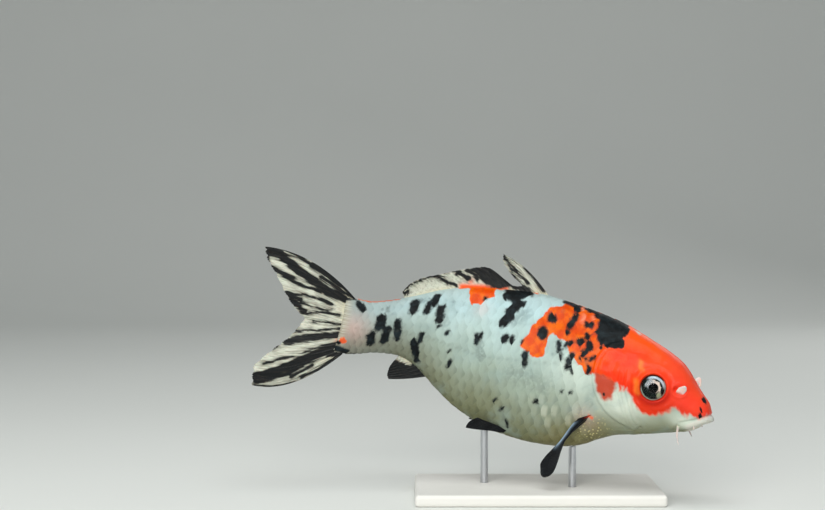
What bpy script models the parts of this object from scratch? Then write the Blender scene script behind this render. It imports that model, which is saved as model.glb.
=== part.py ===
"""A young koi carp at life size, held over a flat base by two short rods.

The fish is laid out straight first, in its own frame: f runs from the snout to the tail, l to
the fish's left and h up its back, all in hundredths of the body length. The spine then bends
that frame sideways, and the whole fish is pitched and rolled over the stand. The world is in
metres with +Z up, +X the way the fish heads, and its origin at the middle of the base's
underside.
"""
import math

import bmesh
import bpy
import numpy as np
from mathutils import Vector

# Driving dimensions, in metres and degrees
BODY_LENGTH = 0.130            # snout to the end of the fleshy tail stem
UNIT = BODY_LENGTH / 100       # one hundredth of the body length
GAP = 0.0003                   # left between neighbouring solids
FIN_THICKNESS = 0.0007
SPINE_HEIGHT = 0.0435          # middle of the body above the underside of the base
HEAD_TURN = 25                 # heading of the head, towards -Y
TAIL_TURN = -9                 # heading of the tail stem
HEAD_PITCH = 13                # the whole fish points this much below level
BACK_LEAN = 3                  # roll that brings the back towards -Y

# Where the lengths of the body part, in hundredths of the body length
HEAD_END = 31.3
SHOULDER_END = 51
FLANK_END = 76
MIDDLE = 47.7                  # stands over the world's origin
BODY_SIDES = 32                # faces round the body

# Outlines of the straight fish: (place along it, value), in hundredths of the body length
BACK_LINE = [(-0.3, -0.4), (0.4, 1.6), (1.5, 3.4), (3, 4.8), (5, 6.6), (7.5, 9.3), (10, 11.4),
             (14, 13.3), (20, 15.4), (28, 17.8), (38, 19.2), (49, 20.0), (60, 19.0),
             (70, 17.3), (77, 15.0), (84, 11.7), (91, 8.9), (96, 7.7), (100, 7.8)]
BELLY_LINE = [(-0.3, -1.2), (0.4, -1.9), (2.1, -3.3), (4.1, -4.7), (7, -5.9), (12, -7.6),
              (18, -9.6), (23, -11.1), (27, -13.2), (32, -16.3), (38, -18.2), (47, -19.1),
              (54, -18.8), (61, -17.1), (67, -14.8), (72, -11.8), (76, -8.9), (80, -6.2),
              (85, -4.8), (91, -5.5), (96, -7.0), (100, -7.8)]
HALF_WIDTH = [(-0.3, 1.1), (0.4, 2.5), (1.8, 3.6), (4.2, 4.4), (8, 5.3), (14, 6.9), (20, 7.7),
              (28, 8.6), (38, 9.4), (50, 9.2), (62, 7.9), (72, 6.1), (80, 4.4), (88, 3.1),
              (95, 2.1), (100, 1.4)]
WIDEST_HEIGHT = [(-0.3, -0.8), (3, -0.5), (10, 1.8), (20, 1.8), (32, 0.5), (50, 0), (70, 1.2),
                 (84, 3.3), (92, 1.7), (100, 0)]
BACK_FULLNESS = [(0, 2.2), (14, 2.5), (28, 2.2), (40, 2.0), (70, 1.9), (100, 2.0)]
BELLY_FULLNESS = [(0, 2.5), (10, 2.5), (30, 2.3), (50, 2.2), (75, 1.9), (100, 2.0)]

# Gill cover: its outline from the upper front corner round the free rear edge, as (f, h)
GILL_COVER = [(21, 11.5), (25.5, 13.6), (29.4, 10.8), (30.5, 5.2), (28.6, -0.8), (25.5, -4.5),
              (21.6, -6.7), (17.3, -7.9), (15.6, -6.2), (18.3, -1.8), (19.7, 4.5)]
COVER_DEPTH = 1.2
EYE = dict(f=14.3, h=4.25, radius=3.45, depth=3.0, sink=1.65, forward=18, up=4)
MOUTH_FRONT, MOUTH_CORNER = (-1.2, -0.6), (7.2, -5.0)

# Fins: each control ray is (place of its root, f of its tip, h of its tip, outward bow)
DORSAL_RAYS = [(48.6, 63.4, 27.9, 1.5), (50.2, 63.2, 26.4, 1.2), (51.8, 60.3, 23.2, 0.8),
               (53.6, 56.6, 20.9, 0.2), (56.5, 58.8, 20.3, 0.1), (58, 62.5, 21.8, 0.3),
               (59, 66.9, 23.5, 0.6), (64, 71.3, 22.2, 0.6), (69, 75.4, 20.5, 0.5),
               (74, 79.2, 18.7, 0.4), (79, 83, 17.0, 0.4), (83, 86.0, 14.6, 0.3),
               (86.3, 87.4, 12.1, 0.1)]
ANAL_RAYS = [(75.8, 85.7, -11.6, -0.3), (78.5, 86.3, -10.4, -0.3), (81.5, 86.2, -8.6, -0.2),
             (84.2, 85.4, -6.6, 0)]
UPPER_TAIL_RAYS = [(7.6, 125.8, 15.9, 2.9), (6.2, 124.6, 13.2, 1.9), (4.7, 121.2, 9.3, 1.0),
                   (3.1, 117.2, 4.4, 0.4), (1.6, 113.8, 1.2, 0.1), (0.2, 111.2, -0.3, 0)]
LOWER_TAIL_RAYS = [(-0.1, 111.2, -0.6, 0), (-1.5, 112.3, -3.2, -0.1), (-3.1, 114.6, -6.8, -0.5),
                   (-4.7, 117.8, -10.4, -1.2), (-6.2, 121.6, -16.0, -2.3),
                   (-7.6, 121.0, -20.6, -3.6)]

STAND_LENGTH, STAND_WIDTH, STAND_THICKNESS = 0.084, 0.044, 0.004
ROD_DIAMETER = 0.0026
ROD_SOCKET = 0.0025
ROD_PLACES = dict(front=34, rear=58)

# name: (colour, roughness, metallic)
FINISHES = {
    "head_skin": ((0.93, 0.20, 0.07), 0.38, 0.0),
    "pale_skin": ((0.78, 0.80, 0.77), 0.38, 0.0),
    "cover_skin": ((0.88, 0.42, 0.30), 0.36, 0.0),
    "flank_skin": ((0.62, 0.66, 0.66), 0.42, 0.0),
    "fin_web": ((0.62, 0.58, 0.48), 0.45, 0.0),
    "black_fin": ((0.02, 0.025, 0.03), 0.45, 0.0),
    "eye_black": ((0.02, 0.03, 0.03), 0.08, 0.0),
    "barbel_skin": ((0.80, 0.62, 0.56), 0.40, 0.0),
    "stand_plastic": ((0.82, 0.82, 0.80), 0.45, 0.0),
    "rod_steel": ((0.62, 0.63, 0.65), 0.28, 1.0),
}


# ---------------------------------------------------------------- scene and small tools

def clear_scene():
    for thing in list(bpy.data.objects):
        bpy.data.objects.remove(thing, do_unlink=True)


def new_collection(name):
    group = bpy.data.collections.new(name)
    bpy.context.scene.collection.children.link(group)
    return group


def make_finish(name):
    colour, roughness, metallic = FINISHES[name]
    finish = bpy.data.materials.get(name) or bpy.data.materials.new(name)
    finish.use_nodes = True
    shader = finish.node_tree.nodes["Principled BSDF"]
    shader.inputs["Base Color"].default_value = (*colour, 1)
    shader.inputs["Roughness"].default_value = roughness
    shader.inputs["Metallic"].default_value = metallic
    return finish


def new_object(name, mesh, finish):
    """Puts a finished sub-part in the model's collection."""
    part = bpy.data.objects.new(name, mesh)
    MODEL.objects.link(part)
    mesh.shade_smooth()
    mesh.set_sharp_from_angle(angle=math.radians(35))
    mesh.materials.append(make_finish(finish))
    return part


def new_cutter(name, mesh):
    """A shape that only cuts others, and isn't part of the model."""
    cutter = bpy.data.objects.new(name, mesh)
    CUTTERS.objects.link(cutter)
    cutter.hide_render = True
    cutter.display_type = "WIRE"
    return cutter


def boolean(part, cutter, operation="DIFFERENCE"):
    cut = part.modifiers.new(operation.title() + " " + cutter.name, "BOOLEAN")
    cut.operation = operation
    cut.solver = "EXACT"
    cut.object = cutter


def smooth_value(knots, places):
    """Value at each place of the smooth curve through the knots, which never overshoots them."""
    x, y = np.array(knots, float).T
    steps = np.diff(x)
    slopes = np.diff(y) / steps
    tangents = np.empty_like(y)
    tangents[0], tangents[-1] = slopes[0], slopes[-1]
    before, after = slopes[:-1], slopes[1:]
    weight_before, weight_after = 2 * steps[1:] + steps[:-1], steps[1:] + 2 * steps[:-1]
    turning = before * after <= 0
    safe_before = np.where(turning, 1, before)
    safe_after = np.where(turning, 1, after)
    mean = (weight_before + weight_after) / (weight_before / safe_before
                                             + weight_after / safe_after)
    tangents[1:-1] = np.where(turning, 0, mean)
    places = np.clip(np.asarray(places, float), x[0], x[-1])
    i = np.clip(np.searchsorted(x, places, side="right") - 1, 0, len(x) - 2)
    t = (places - x[i]) / steps[i]
    return (y[i] * (1 + 2 * t) * (1 - t) ** 2 + y[i + 1] * t * t * (3 - 2 * t)
            + steps[i] * tangents[i] * t * (1 - t) ** 2
            - steps[i] * tangents[i + 1] * t * t * (1 - t))


def smooth_loop(points, cuts=3):
    """A closed outline through the points, rounded by a Catmull-Rom curve."""
    points = np.array(points, float)
    p0, p1, p2, p3 = (np.roll(points, shift, axis=0) for shift in (1, 0, -1, -2))
    rounds = []
    for k in range(cuts):
        t = k / cuts
        rounds.append(0.5 * (2 * p1 + (p2 - p0) * t + (2 * p0 - 5 * p1 + 4 * p2 - p3) * t ** 2
                             + (3 * p1 - p0 - 3 * p2 + p3) * t ** 3))
    return np.stack(rounds, axis=1).reshape(-1, 2)


# ---------------------------------------------------------------- the bend of the body

def heading(f):
    """Heading in radians at a place along the fish: the head is stiff, the rest eases round."""
    t = np.clip((np.asarray(f, float) - HEAD_END) / (100 - HEAD_END), 0, 1)
    turned = 0.45 * t + 0.55 * np.sin(t * math.pi / 2)
    return np.radians(HEAD_TURN + (TAIL_TURN - HEAD_TURN) * turned)


def spine_table():
    """Places along the fish with the spine's sideways path worked out at each."""
    f = np.linspace(-10, 135, 1451)
    step = f[1] - f[0]
    slopes = np.stack([-np.cos(heading(f)), np.sin(heading(f))])
    path = np.concatenate([np.zeros((2, 1)),
                           np.cumsum((slopes[:, 1:] + slopes[:, :-1]) / 2 * step, axis=1)], axis=1)
    origin = [[np.interp(MIDDLE, f, row)] for row in path]
    return f, path - origin


def to_world(f, l, h):
    """Places points of the straight fish, in hundredths of its length, in the world."""
    f, l, h = np.broadcast_arrays(*(np.asarray(v, float) for v in (f, l, h)))
    lean, pitch, turn = math.radians(BACK_LEAN), math.radians(HEAD_PITCH), heading(f)
    sideways = l * math.cos(lean) - h * math.sin(lean)
    upward = l * math.sin(lean) + h * math.cos(lean)
    along = np.interp(f, SPINE_F, SPINE_PATH[0]) + sideways * np.sin(turn)
    across = np.interp(f, SPINE_F, SPINE_PATH[1]) + sideways * np.cos(turn)
    x = along * math.cos(pitch) + upward * math.sin(pitch)
    z = upward * math.cos(pitch) - along * math.sin(pitch)
    return np.stack([x * UNIT, across * UNIT, z * UNIT + SPINE_HEIGHT], axis=-1)


# ---------------------------------------------------------------- the body's own shape

def section(f, angles, grow=0.0):
    """One ring round the body: (l, h) at each angle, grown outwards by a little if asked."""
    back = smooth_value(BACK_LINE, f) + grow
    belly = smooth_value(BELLY_LINE, f) - grow
    half = smooth_value(HALF_WIDTH, f) + grow
    middle = smooth_value(WIDEST_HEIGHT, f)
    upper, lower = smooth_value(BACK_FULLNESS, f), smooth_value(BELLY_FULLNESS, f)
    power = 2 / np.where(np.sin(angles) > 0, upper, lower)
    reach = np.where(np.sin(angles) > 0, back - middle, middle - belly)
    l = half * np.sign(np.cos(angles)) * np.abs(np.cos(angles)) ** power
    h = middle + reach * np.sign(np.sin(angles)) * np.abs(np.sin(angles)) ** power
    return l, h


def body_mesh(name, places, grow=0.0):
    """A closed length of the body, lofted through rings at the places given."""
    angles = np.arange(BODY_SIDES) * 2 * math.pi / BODY_SIDES
    shape = bmesh.new()
    rings = []
    for f in places:
        l, h = section(f, angles, grow)
        rings.append([shape.verts.new(p) for p in to_world(f, l, h)])
    for near, far in zip(rings, rings[1:]):
        for a in range(BODY_SIDES):
            b = (a + 1) % BODY_SIDES
            shape.faces.new((near[a], near[b], far[b], far[a]))
    shape.faces.new(reversed(rings[0]))
    shape.faces.new(rings[-1])
    return finish_mesh(shape, name)


def finish_mesh(shape, name):
    """The mesh of a shape, with its faces pointing out."""
    shape.normal_update()
    bmesh.ops.recalc_face_normals(shape, faces=shape.faces)
    mesh = bpy.data.meshes.new(name)
    shape.to_mesh(mesh)
    shape.free()
    return mesh


def surface_point(f, h_share, side, lift=0.0):
    """A point on the flank: h_share is -1 at the belly line and 1 at the back line."""
    angle = math.asin(h_share)
    l, h = section(f, np.array([angle]), lift)
    return f, side * l[0], h[0]


def prism_mesh(name, outline, near, far):
    """A flat outline in (f, h) of the head, drawn across it from one side place to another."""
    shape = bmesh.new()
    corners = to_world(outline[:, 0], near, outline[:, 1])
    across = Vector(to_world(0, far, 0) - to_world(0, near, 0))
    face = shape.faces.new([shape.verts.new(p) for p in corners])
    drawn = bmesh.ops.extrude_face_region(shape, geom=[face])["geom"]
    moved = [v for v in drawn if isinstance(v, bmesh.types.BMVert)]
    bmesh.ops.translate(shape, verts=moved, vec=across)
    return finish_mesh(shape, name)


def grown(outline, amount):
    """The outline moved outwards from its own middle."""
    centre = outline.mean(axis=0)
    away = outline - centre
    return outline + amount * away / np.linalg.norm(away, axis=1, keepdims=True)


# ---------------------------------------------------------------- head

def head_places():
    return [-0.3, 0, 0.7, 1.7, 3.1, 5, 7.5, 10, 12.5, 15, 18, 21, 24, 27, 29.5, HEAD_END]


def mouth_wedge(name, lift):
    """The space under the mouth line that the lower jaw fills, cut a little larger by lift."""
    front, corner = np.array(MOUTH_FRONT), np.array(MOUTH_CORNER)
    outline = np.array([front + (-1, 0.5 + lift), corner + (0, lift), corner + (1.5 + lift, -1),
                        corner + (1.0 + lift, -6), front + (-1, -6)])
    return new_cutter(name, prism_mesh(name, outline, -9, 9))


def gill_pocket(name, side, outline, core):
    """The recess in the side of the head that a gill cover lies in."""
    pocket = new_cutter(name, prism_mesh(name, outline, side * 1.0, side * 14))
    boolean(pocket, core)
    return pocket


def eye_mesh(name, side, radius, depth):
    """A slightly flattened ball, turned to look out along the socket."""
    shape = bmesh.new()
    bmesh.ops.create_uvsphere(shape, u_segments=20, v_segments=12, radius=1)
    forward, up = math.radians(EYE["forward"]), math.radians(EYE["up"])
    axis = np.array([-math.sin(forward) * math.cos(up), side * math.cos(forward) * math.cos(up),
                     math.sin(up)])
    ahead = np.array([-math.cos(forward), -side * math.sin(forward), 0])
    above = np.cross(axis, ahead) * -side
    half = smooth_value(HALF_WIDTH, EYE["f"]) * 0.985
    centre = np.array([EYE["f"], side * half, EYE["h"]]) - EYE["sink"] * axis
    for v in shape.verts:
        p = centre + radius * (v.co.x * ahead + v.co.y * above) + depth * v.co.z * axis
        v.co = Vector(to_world(*p))
    return finish_mesh(shape, name)


def make_eye(side, word):
    name = "eye_" + word
    new_object(name, eye_mesh(name, side, EYE["radius"], EYE["depth"]), "eye_black")
    clearance = GAP / UNIT
    hollow = eye_mesh("socket_" + word, side, EYE["radius"] + clearance, EYE["depth"] + clearance)
    return new_cutter("socket_" + word, hollow)


def make_head():
    """Skull and snout, with the jaw, the gill covers and the eyes let into it."""
    clearance = GAP / UNIT
    head = new_object("head", body_mesh("head", head_places()), "head_skin")
    jaw = new_object("lower_jaw", body_mesh("lower_jaw", head_places()), "pale_skin")
    boolean(jaw, mouth_wedge("jaw_space", 0), "INTERSECT")
    boolean(head, mouth_wedge("jaw_room", clearance))
    cover_core = new_cutter("cover_core", body_mesh("cover_core", head_places(), -COVER_DEPTH))
    pocket_core = new_cutter("pocket_core", body_mesh("pocket_core", head_places(),
                                                      -COVER_DEPTH - clearance))
    outline = smooth_loop(GILL_COVER, cuts=2)
    for side, word in ((-1, "right"), (1, "left")):
        cover = new_object("gill_cover_" + word, body_mesh("cover", head_places()), "cover_skin")
        plate = new_cutter("cover_space_" + word,
                           prism_mesh("cover_space", outline, side * 1.0, side * 14))
        boolean(cover, plate, "INTERSECT")
        boolean(cover, cover_core)
        boolean(head, gill_pocket("cover_room_" + word, side, grown(outline, clearance),
                                  pocket_core))
        boolean(head, make_eye(side, word))


def make_nostril_flap(side, word):
    """A leaf of skin that stands between the two openings of a nostril."""
    name = "nostril_flap_" + word
    root = np.array(surface_point(8.0, 0.33, side, GAP / UNIT + 0.15))
    tip = root + (-1.7, side * 1.0, 2.7)
    spread = np.array([1.0, side * 0.5, 0.3])
    rays = []
    for share in np.linspace(-1, 1, 5):
        reach = math.sqrt(1 - 0.75 * share ** 2)
        rays.append([root + share * spread + t * reach * (tip - root) for t in (0, 0.5, 1)])
    make_sheet(name, rays, "pale_skin", thickness=0.0005)


def make_barbel(name, side, root_f, root_share, reach, radius):
    """A feeler: a thin tapering tube that hangs back from the edge of the mouth."""
    start = np.array(surface_point(root_f, root_share, side, (GAP + radius) / UNIT))
    curve = bpy.data.curves.new(name, "CURVE")
    curve.dimensions = "3D"
    curve.bevel_depth = radius
    curve.bevel_resolution = 2
    curve.use_fill_caps = True
    line = curve.splines.new("POLY")
    shares = np.linspace(0, 1, 7)
    line.points.add(len(shares) - 1)
    for point, t in zip(line.points, shares):
        f, l, h = start + t * np.array(reach) * (1, side, 1) + (0.5 * t * t, 0, 0)
        point.co = (*to_world(f, l, h), 1)
        point.radius = 1.15 - 0.25 * t
    barbel = bpy.data.objects.new(name, curve)
    MODEL.objects.link(barbel)
    curve.materials.append(make_finish("barbel_skin"))


# ---------------------------------------------------------------- trunk and tail stem

def make_trunk():
    """The body behind the head, in three lengths that part with thin cuts."""
    clearance = GAP / UNIT
    cuts = [("trunk_front", HEAD_END, SHOULDER_END), ("trunk_rear", SHOULDER_END, FLANK_END),
            ("tail_stem", FLANK_END, 100)]
    for name, start, end in cuts:
        places = np.linspace(start + clearance, end, 9)
        new_object(name, body_mesh(name, places), "flank_skin")


# ---------------------------------------------------------------- fins

def make_sheet(name, rays, finish, thickness=FIN_THICKNESS):
    """A fin as one sheet across its rays: each ray is a row of points of the straight fish."""
    rays = np.array(rays)
    rows, steps = rays.shape[:2]
    world = to_world(rays[..., 0], rays[..., 1], rays[..., 2])
    shape = bmesh.new()
    bmesh.ops.create_grid(shape, x_segments=rows - 1, y_segments=steps - 1, size=1)
    for v in shape.verts:
        row = round((v.co.x + 1) / 2 * (rows - 1))
        step = round((v.co.y + 1) / 2 * (steps - 1))
        v.co = Vector(world[row, step])
    fin = new_object(name, finish_mesh(shape, name), finish)
    wall = fin.modifiers.new("Thickness", "SOLIDIFY")
    wall.thickness = thickness
    wall.offset = 0
    return fin


def median_ray(root, tip, bow, steps):
    """One ray in the fish's middle plane, bowed up or down between its root and its tip."""
    t = np.linspace(0, 1, steps)
    f = root[0] + (tip[0] - root[0]) * t
    h = root[1] + (tip[1] - root[1]) * t + bow * 4 * t * (1 - t)
    return np.stack([f, 0 * t, h], axis=-1)


def rays_between(controls, count):
    """Roots, tips and bows of evenly spaced rays, read off the smooth run of the controls."""
    run = np.arange(len(controls))
    at = np.linspace(0, len(controls) - 1, count)
    return np.stack([smooth_value(list(zip(run, column)), at) for column in zip(*controls)], -1)


def make_median_fin(name, controls, line, side, count, finish):
    """A fin on the middle of the back (side 1) or of the belly (side -1)."""
    rays = []
    for root_f, tip_f, tip_h, bow in rays_between(controls, count):
        root_h = smooth_value(line, root_f) + side * (GAP / UNIT + 0.03)
        rays.append(median_ray((root_f, root_h), (tip_f, tip_h), bow, 6))
    make_sheet(name, rays, finish)


def make_tail_lobe(name, controls):
    """Half of the forked tail: its rays fan from the end of the stem into one lobe."""
    rays = []
    for root_h, tip_f, tip_h, bow in rays_between(controls, 13):
        rays.append(median_ray((100 + GAP / UNIT, root_h), (tip_f, tip_h), bow, 8))
    make_sheet(name, rays, "fin_web")


def paired_fin(name, root, tip, chord_root, chord_tip, widths, finish, bow=(0, 0, 0)):
    """A fin off the side of the body: a blade whose chord turns from its root to its tip."""
    root, tip, bow = np.array(root), np.array(tip), np.array(bow)
    chord_root, chord_tip = np.array(chord_root), np.array(chord_tip)
    rays = []
    for share in np.linspace(-1, 1, 7):
        ray = []
        for t in np.linspace(0, 1, 9):
            turned = t ** 0.7
            chord = chord_root * (1 - turned) + chord_tip * turned
            chord = chord / np.linalg.norm(chord)
            width = smooth_value(widths, t)
            spine = root + (tip - root) * t * (1 - 0.06 * share ** 2) + bow * 4 * t * (1 - t)
            ray.append(spine + share * width / 2 * chord)
        rays.append(ray)
    make_sheet(name, rays, finish, thickness=0.0006)


def make_pectoral_fins():
    """The fins behind the gill covers: the right one hangs edge on, the left one is spread."""
    widths = [(0, 3.0), (0.35, 4.0), (0.7, 7.0), (0.88, 7.4), (1, 3.6)]
    paired_fin("pectoral_fin_right", (28.4, -8.15, -7.3), (37.7, -8.6, -25.9),
               (-0.3, 0.5, -0.87), (0.72, 0.67, 0.18), widths, "black_fin", bow=(0.9, 0, 0.1))
    paired_fin("pectoral_fin_left", (29.0, 8.6, -8.3), (42.5, 20.5, -10.5),
               (0.75, 0.1, -0.7), (0.8, -0.35, -0.35), widths, "fin_web", bow=(-0.5, 0.5, 0.6))


def make_pelvic_fins():
    """The small pair under the belly, swept back."""
    widths = [(0, 2.6), (0.4, 4.6), (0.8, 5.6), (1, 2.6)]
    for side, word in ((-1, "right"), (1, "left")):
        paired_fin("pelvic_fin_" + word, (51.4, side * 4.6, -18.7), (62.8, side * 7.2, -16.3),
                   (0.35, -side * 0.9, -0.25), (0.3, -side * 0.9, 0.35), widths, "black_fin")


# ---------------------------------------------------------------- display stand

def make_stand():
    """A flat base with two upright rods let into it, which end just under the belly."""
    bpy.ops.mesh.primitive_cube_add(size=1, location=(0, 0, STAND_THICKNESS / 2))
    base = bpy.context.object
    for vertex in base.data.vertices:
        vertex.co = vertex.co * Vector((STAND_LENGTH, STAND_WIDTH, STAND_THICKNESS))
    base.name = "stand_base"
    for group in list(base.users_collection):
        group.objects.unlink(base)
    MODEL.objects.link(base)
    base.data.materials.append(make_finish("stand_plastic"))
    corners = base.modifiers.new("Corners", "BEVEL")
    corners.width = 0.0012
    corners.segments = 3
    belly = new_cutter("belly_room", body_mesh("belly_room", np.linspace(33, 70, 13),
                                               GAP / UNIT + 0.05))
    for word, place in ROD_PLACES.items():
        x, y, _ = to_world(place, 0, smooth_value(BELLY_LINE, place))
        make_rod("stand_rod_" + word, x, y, belly)
        socket = new_cutter("rod_socket_" + word, rod_mesh(ROD_DIAMETER + 2 * GAP,
                            STAND_THICKNESS - ROD_SOCKET, STAND_THICKNESS + 0.001, x, y))
        boolean(base, socket)


def rod_mesh(diameter, bottom, top, x, y):
    shape = bmesh.new()
    bmesh.ops.create_cone(shape, cap_ends=True, segments=24, radius1=diameter / 2,
                          radius2=diameter / 2, depth=top - bottom)
    for v in shape.verts:
        v.co += Vector((x, y, (top + bottom) / 2))
    return finish_mesh(shape, "rod")


def make_rod(name, x, y, belly):
    """A steel rod, cut at the top to the curve of the belly."""
    bottom = STAND_THICKNESS - ROD_SOCKET + GAP
    rod = new_object(name, rod_mesh(ROD_DIAMETER, bottom, SPINE_HEIGHT, x, y), "rod_steel")
    boolean(rod, belly)


clear_scene()
MODEL = new_collection("Koi carp on a stand")
CUTTERS = new_collection("Cutters")
SPINE_F, SPINE_PATH = spine_table()

make_head()
make_trunk()
for side_sign, side_word in ((-1, "right"), (1, "left")):
    make_nostril_flap(side_sign, side_word)
    make_barbel("barbel_long_" + side_word, side_sign, 5.0, -0.62, (-1.2, 0.8, -4.6), 0.0003)
    make_barbel("barbel_short_" + side_word, side_sign, 1.8, -0.25, (0.9, 1.2, -1.5), 0.00028)
make_median_fin("dorsal_fin", DORSAL_RAYS, BACK_LINE, 1, 34, "fin_web")
make_median_fin("anal_fin", ANAL_RAYS, BELLY_LINE, -1, 9, "black_fin")
make_tail_lobe("tail_lobe_upper", UPPER_TAIL_RAYS)
make_tail_lobe("tail_lobe_lower", LOWER_TAIL_RAYS)
make_pectoral_fins()
make_pelvic_fins()
make_stand()
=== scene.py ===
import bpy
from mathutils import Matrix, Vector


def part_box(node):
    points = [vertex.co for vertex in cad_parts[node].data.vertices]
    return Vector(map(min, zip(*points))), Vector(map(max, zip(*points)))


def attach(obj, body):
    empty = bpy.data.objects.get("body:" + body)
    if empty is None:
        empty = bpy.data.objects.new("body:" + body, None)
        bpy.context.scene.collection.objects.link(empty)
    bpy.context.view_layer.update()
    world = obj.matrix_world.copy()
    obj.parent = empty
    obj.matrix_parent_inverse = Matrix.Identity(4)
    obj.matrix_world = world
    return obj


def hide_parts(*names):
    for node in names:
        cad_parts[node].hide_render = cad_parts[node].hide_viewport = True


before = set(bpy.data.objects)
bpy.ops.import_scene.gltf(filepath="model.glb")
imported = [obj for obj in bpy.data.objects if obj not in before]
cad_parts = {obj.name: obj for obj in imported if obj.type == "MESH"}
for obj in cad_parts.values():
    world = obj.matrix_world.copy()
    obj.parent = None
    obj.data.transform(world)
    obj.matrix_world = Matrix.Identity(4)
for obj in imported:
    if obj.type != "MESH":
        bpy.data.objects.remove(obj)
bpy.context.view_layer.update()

import math

import bpy
import numpy as np

# A young koi carp at life size on a display stand, in the order it is put together: the skin, the
# scales, the eyes, the nostril flaps and feelers, the fins, the stand, and last the studio.

# ---------------------------------------------------------------- the skin
# The hide of a young koi is one soft wet sheet, bare over the head and thin under the scales.
# It is laid in rings round a straight fish, which is then bent, pitched and leant as it turns.
# Its marks are worked out from places along and down the side, for the scales to share.

# Places on the straight fish are in hundredths of the body length: f runs back from the snout,
# l to the fish's left, h up its back, and g down its side from the middle of the back.
BODY_LENGTH = 0.130              # metres
UNIT = BODY_LENGTH / 100
SPINE_HEIGHT = 0.0435            # metres over the underside of the stand
HEAD_TURN, TAIL_TURN = 25, -9    # degrees
HEAD_PITCH, BACK_LEAN = 13, 3
STIFF_END, MIDDLE = 31.3, 47.7   # the head doesn't bend; the middle stands over the base
TAIL_ROOT = 1.6                  # the flesh tapers on to the tail fin's rays this far

BACK_LINE = [(-0.3, -0.4), (0.4, 1.6), (1.5, 3.4), (3, 4.8), (5, 6.6), (7.5, 9.3), (10, 11.4),
             (14, 13.3), (20, 15.4), (28, 17.8), (38, 19.2), (49, 20.0), (60, 19.0),
             (70, 17.3), (77, 15.0), (84, 11.7), (91, 8.9), (96, 7.7), (100, 7.8)]
BELLY_LINE = [(-0.3, -1.2), (0.4, -1.9), (2.1, -3.3), (4.1, -4.7), (7, -5.9), (12, -7.6),
              (18, -9.6), (23, -11.1), (27, -13.2), (32, -16.3), (38, -18.2), (47, -19.1),
              (54, -18.8), (61, -17.1), (67, -14.8), (72, -11.8), (76, -8.9), (80, -6.2),
              (85, -4.8), (91, -5.5), (96, -7.0), (100, -7.8)]
HALF_WIDTH = [(-0.3, 1.1), (0.4, 2.5), (1.8, 3.6), (4.2, 4.4), (8, 5.3), (14, 6.9), (20, 7.7),
              (28, 8.6), (38, 9.4), (50, 9.2), (62, 7.9), (72, 6.1), (80, 4.4), (88, 3.1),
              (95, 2.1), (100, 1.4)]
WIDEST_HEIGHT = [(-0.3, -0.8), (3, -0.5), (10, 1.8), (20, 1.8), (32, 0.5), (50, 0), (70, 1.2),
                 (84, 3.3), (92, 1.7), (100, 0)]
BACK_FULLNESS = [(0, 2.2), (14, 2.5), (28, 2.2), (40, 2.0), (70, 1.9), (100, 2.0)]
BELLY_FULLNESS = [(0, 2.5), (10, 2.5), (30, 2.3), (50, 2.2), (75, 1.9), (100, 2.0)]


def smooth_value(knots, places):
    """Value at each place of the smooth curve through the knots, which never overshoots them."""
    x, y = np.array(knots, float).T
    steps = np.diff(x)
    slopes = np.diff(y) / steps
    tangents = np.empty_like(y)
    tangents[0], tangents[-1] = slopes[0], slopes[-1]
    before, after = slopes[:-1], slopes[1:]
    weight_before, weight_after = 2 * steps[1:] + steps[:-1], steps[1:] + 2 * steps[:-1]
    turning = before * after <= 0
    safe_before, safe_after = np.where(turning, 1, before), np.where(turning, 1, after)
    mean = (weight_before + weight_after) / (weight_before / safe_before
                                             + weight_after / safe_after)
    tangents[1:-1] = np.where(turning, 0, mean)
    places = np.clip(np.asarray(places, float), x[0], x[-1])
    i = np.clip(np.searchsorted(x, places, side="right") - 1, 0, len(x) - 2)
    t = (places - x[i]) / steps[i]
    return (y[i] * (1 + 2 * t) * (1 - t) ** 2 + y[i + 1] * t * t * (3 - 2 * t)
            + steps[i] * tangents[i] * t * (1 - t) ** 2
            - steps[i] * tangents[i + 1] * t * t * (1 - t))


def ease(value, low, high):
    """0 below low, 1 above high, and a smooth rise between them (low may be the higher)."""
    t = np.clip((value - low) / (high - low), 0, 1)
    return t * t * (3 - 2 * t)


def bump(distance, width):
    """1 at no distance, falling to nothing within about two widths."""
    return np.exp(-(distance / width) ** 2)


def heading(f):
    """The way the spine points at each place: straight in the head, and easing round behind it."""
    t = np.clip((f - STIFF_END) / (100 - STIFF_END), 0, 1)
    turned = 0.45 * t + 0.55 * np.sin(t * math.pi / 2)
    return np.radians(HEAD_TURN + (TAIL_TURN - HEAD_TURN) * turned)


def spine_path():
    """Places along the fish, and the sideways path of its spine in hundredths of its length."""
    f = np.linspace(-10, 135, 1451)
    slopes = np.stack([-np.cos(heading(f)), np.sin(heading(f))])
    steps = (slopes[:, 1:] + slopes[:, :-1]) / 2 * (f[1] - f[0])
    path = np.concatenate([np.zeros((2, 1)), np.cumsum(steps, axis=1)], axis=1)
    return f, path - [[np.interp(MIDDLE, f, row)] for row in path]


SPINE_F, SPINE_PATH = spine_path()


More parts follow.
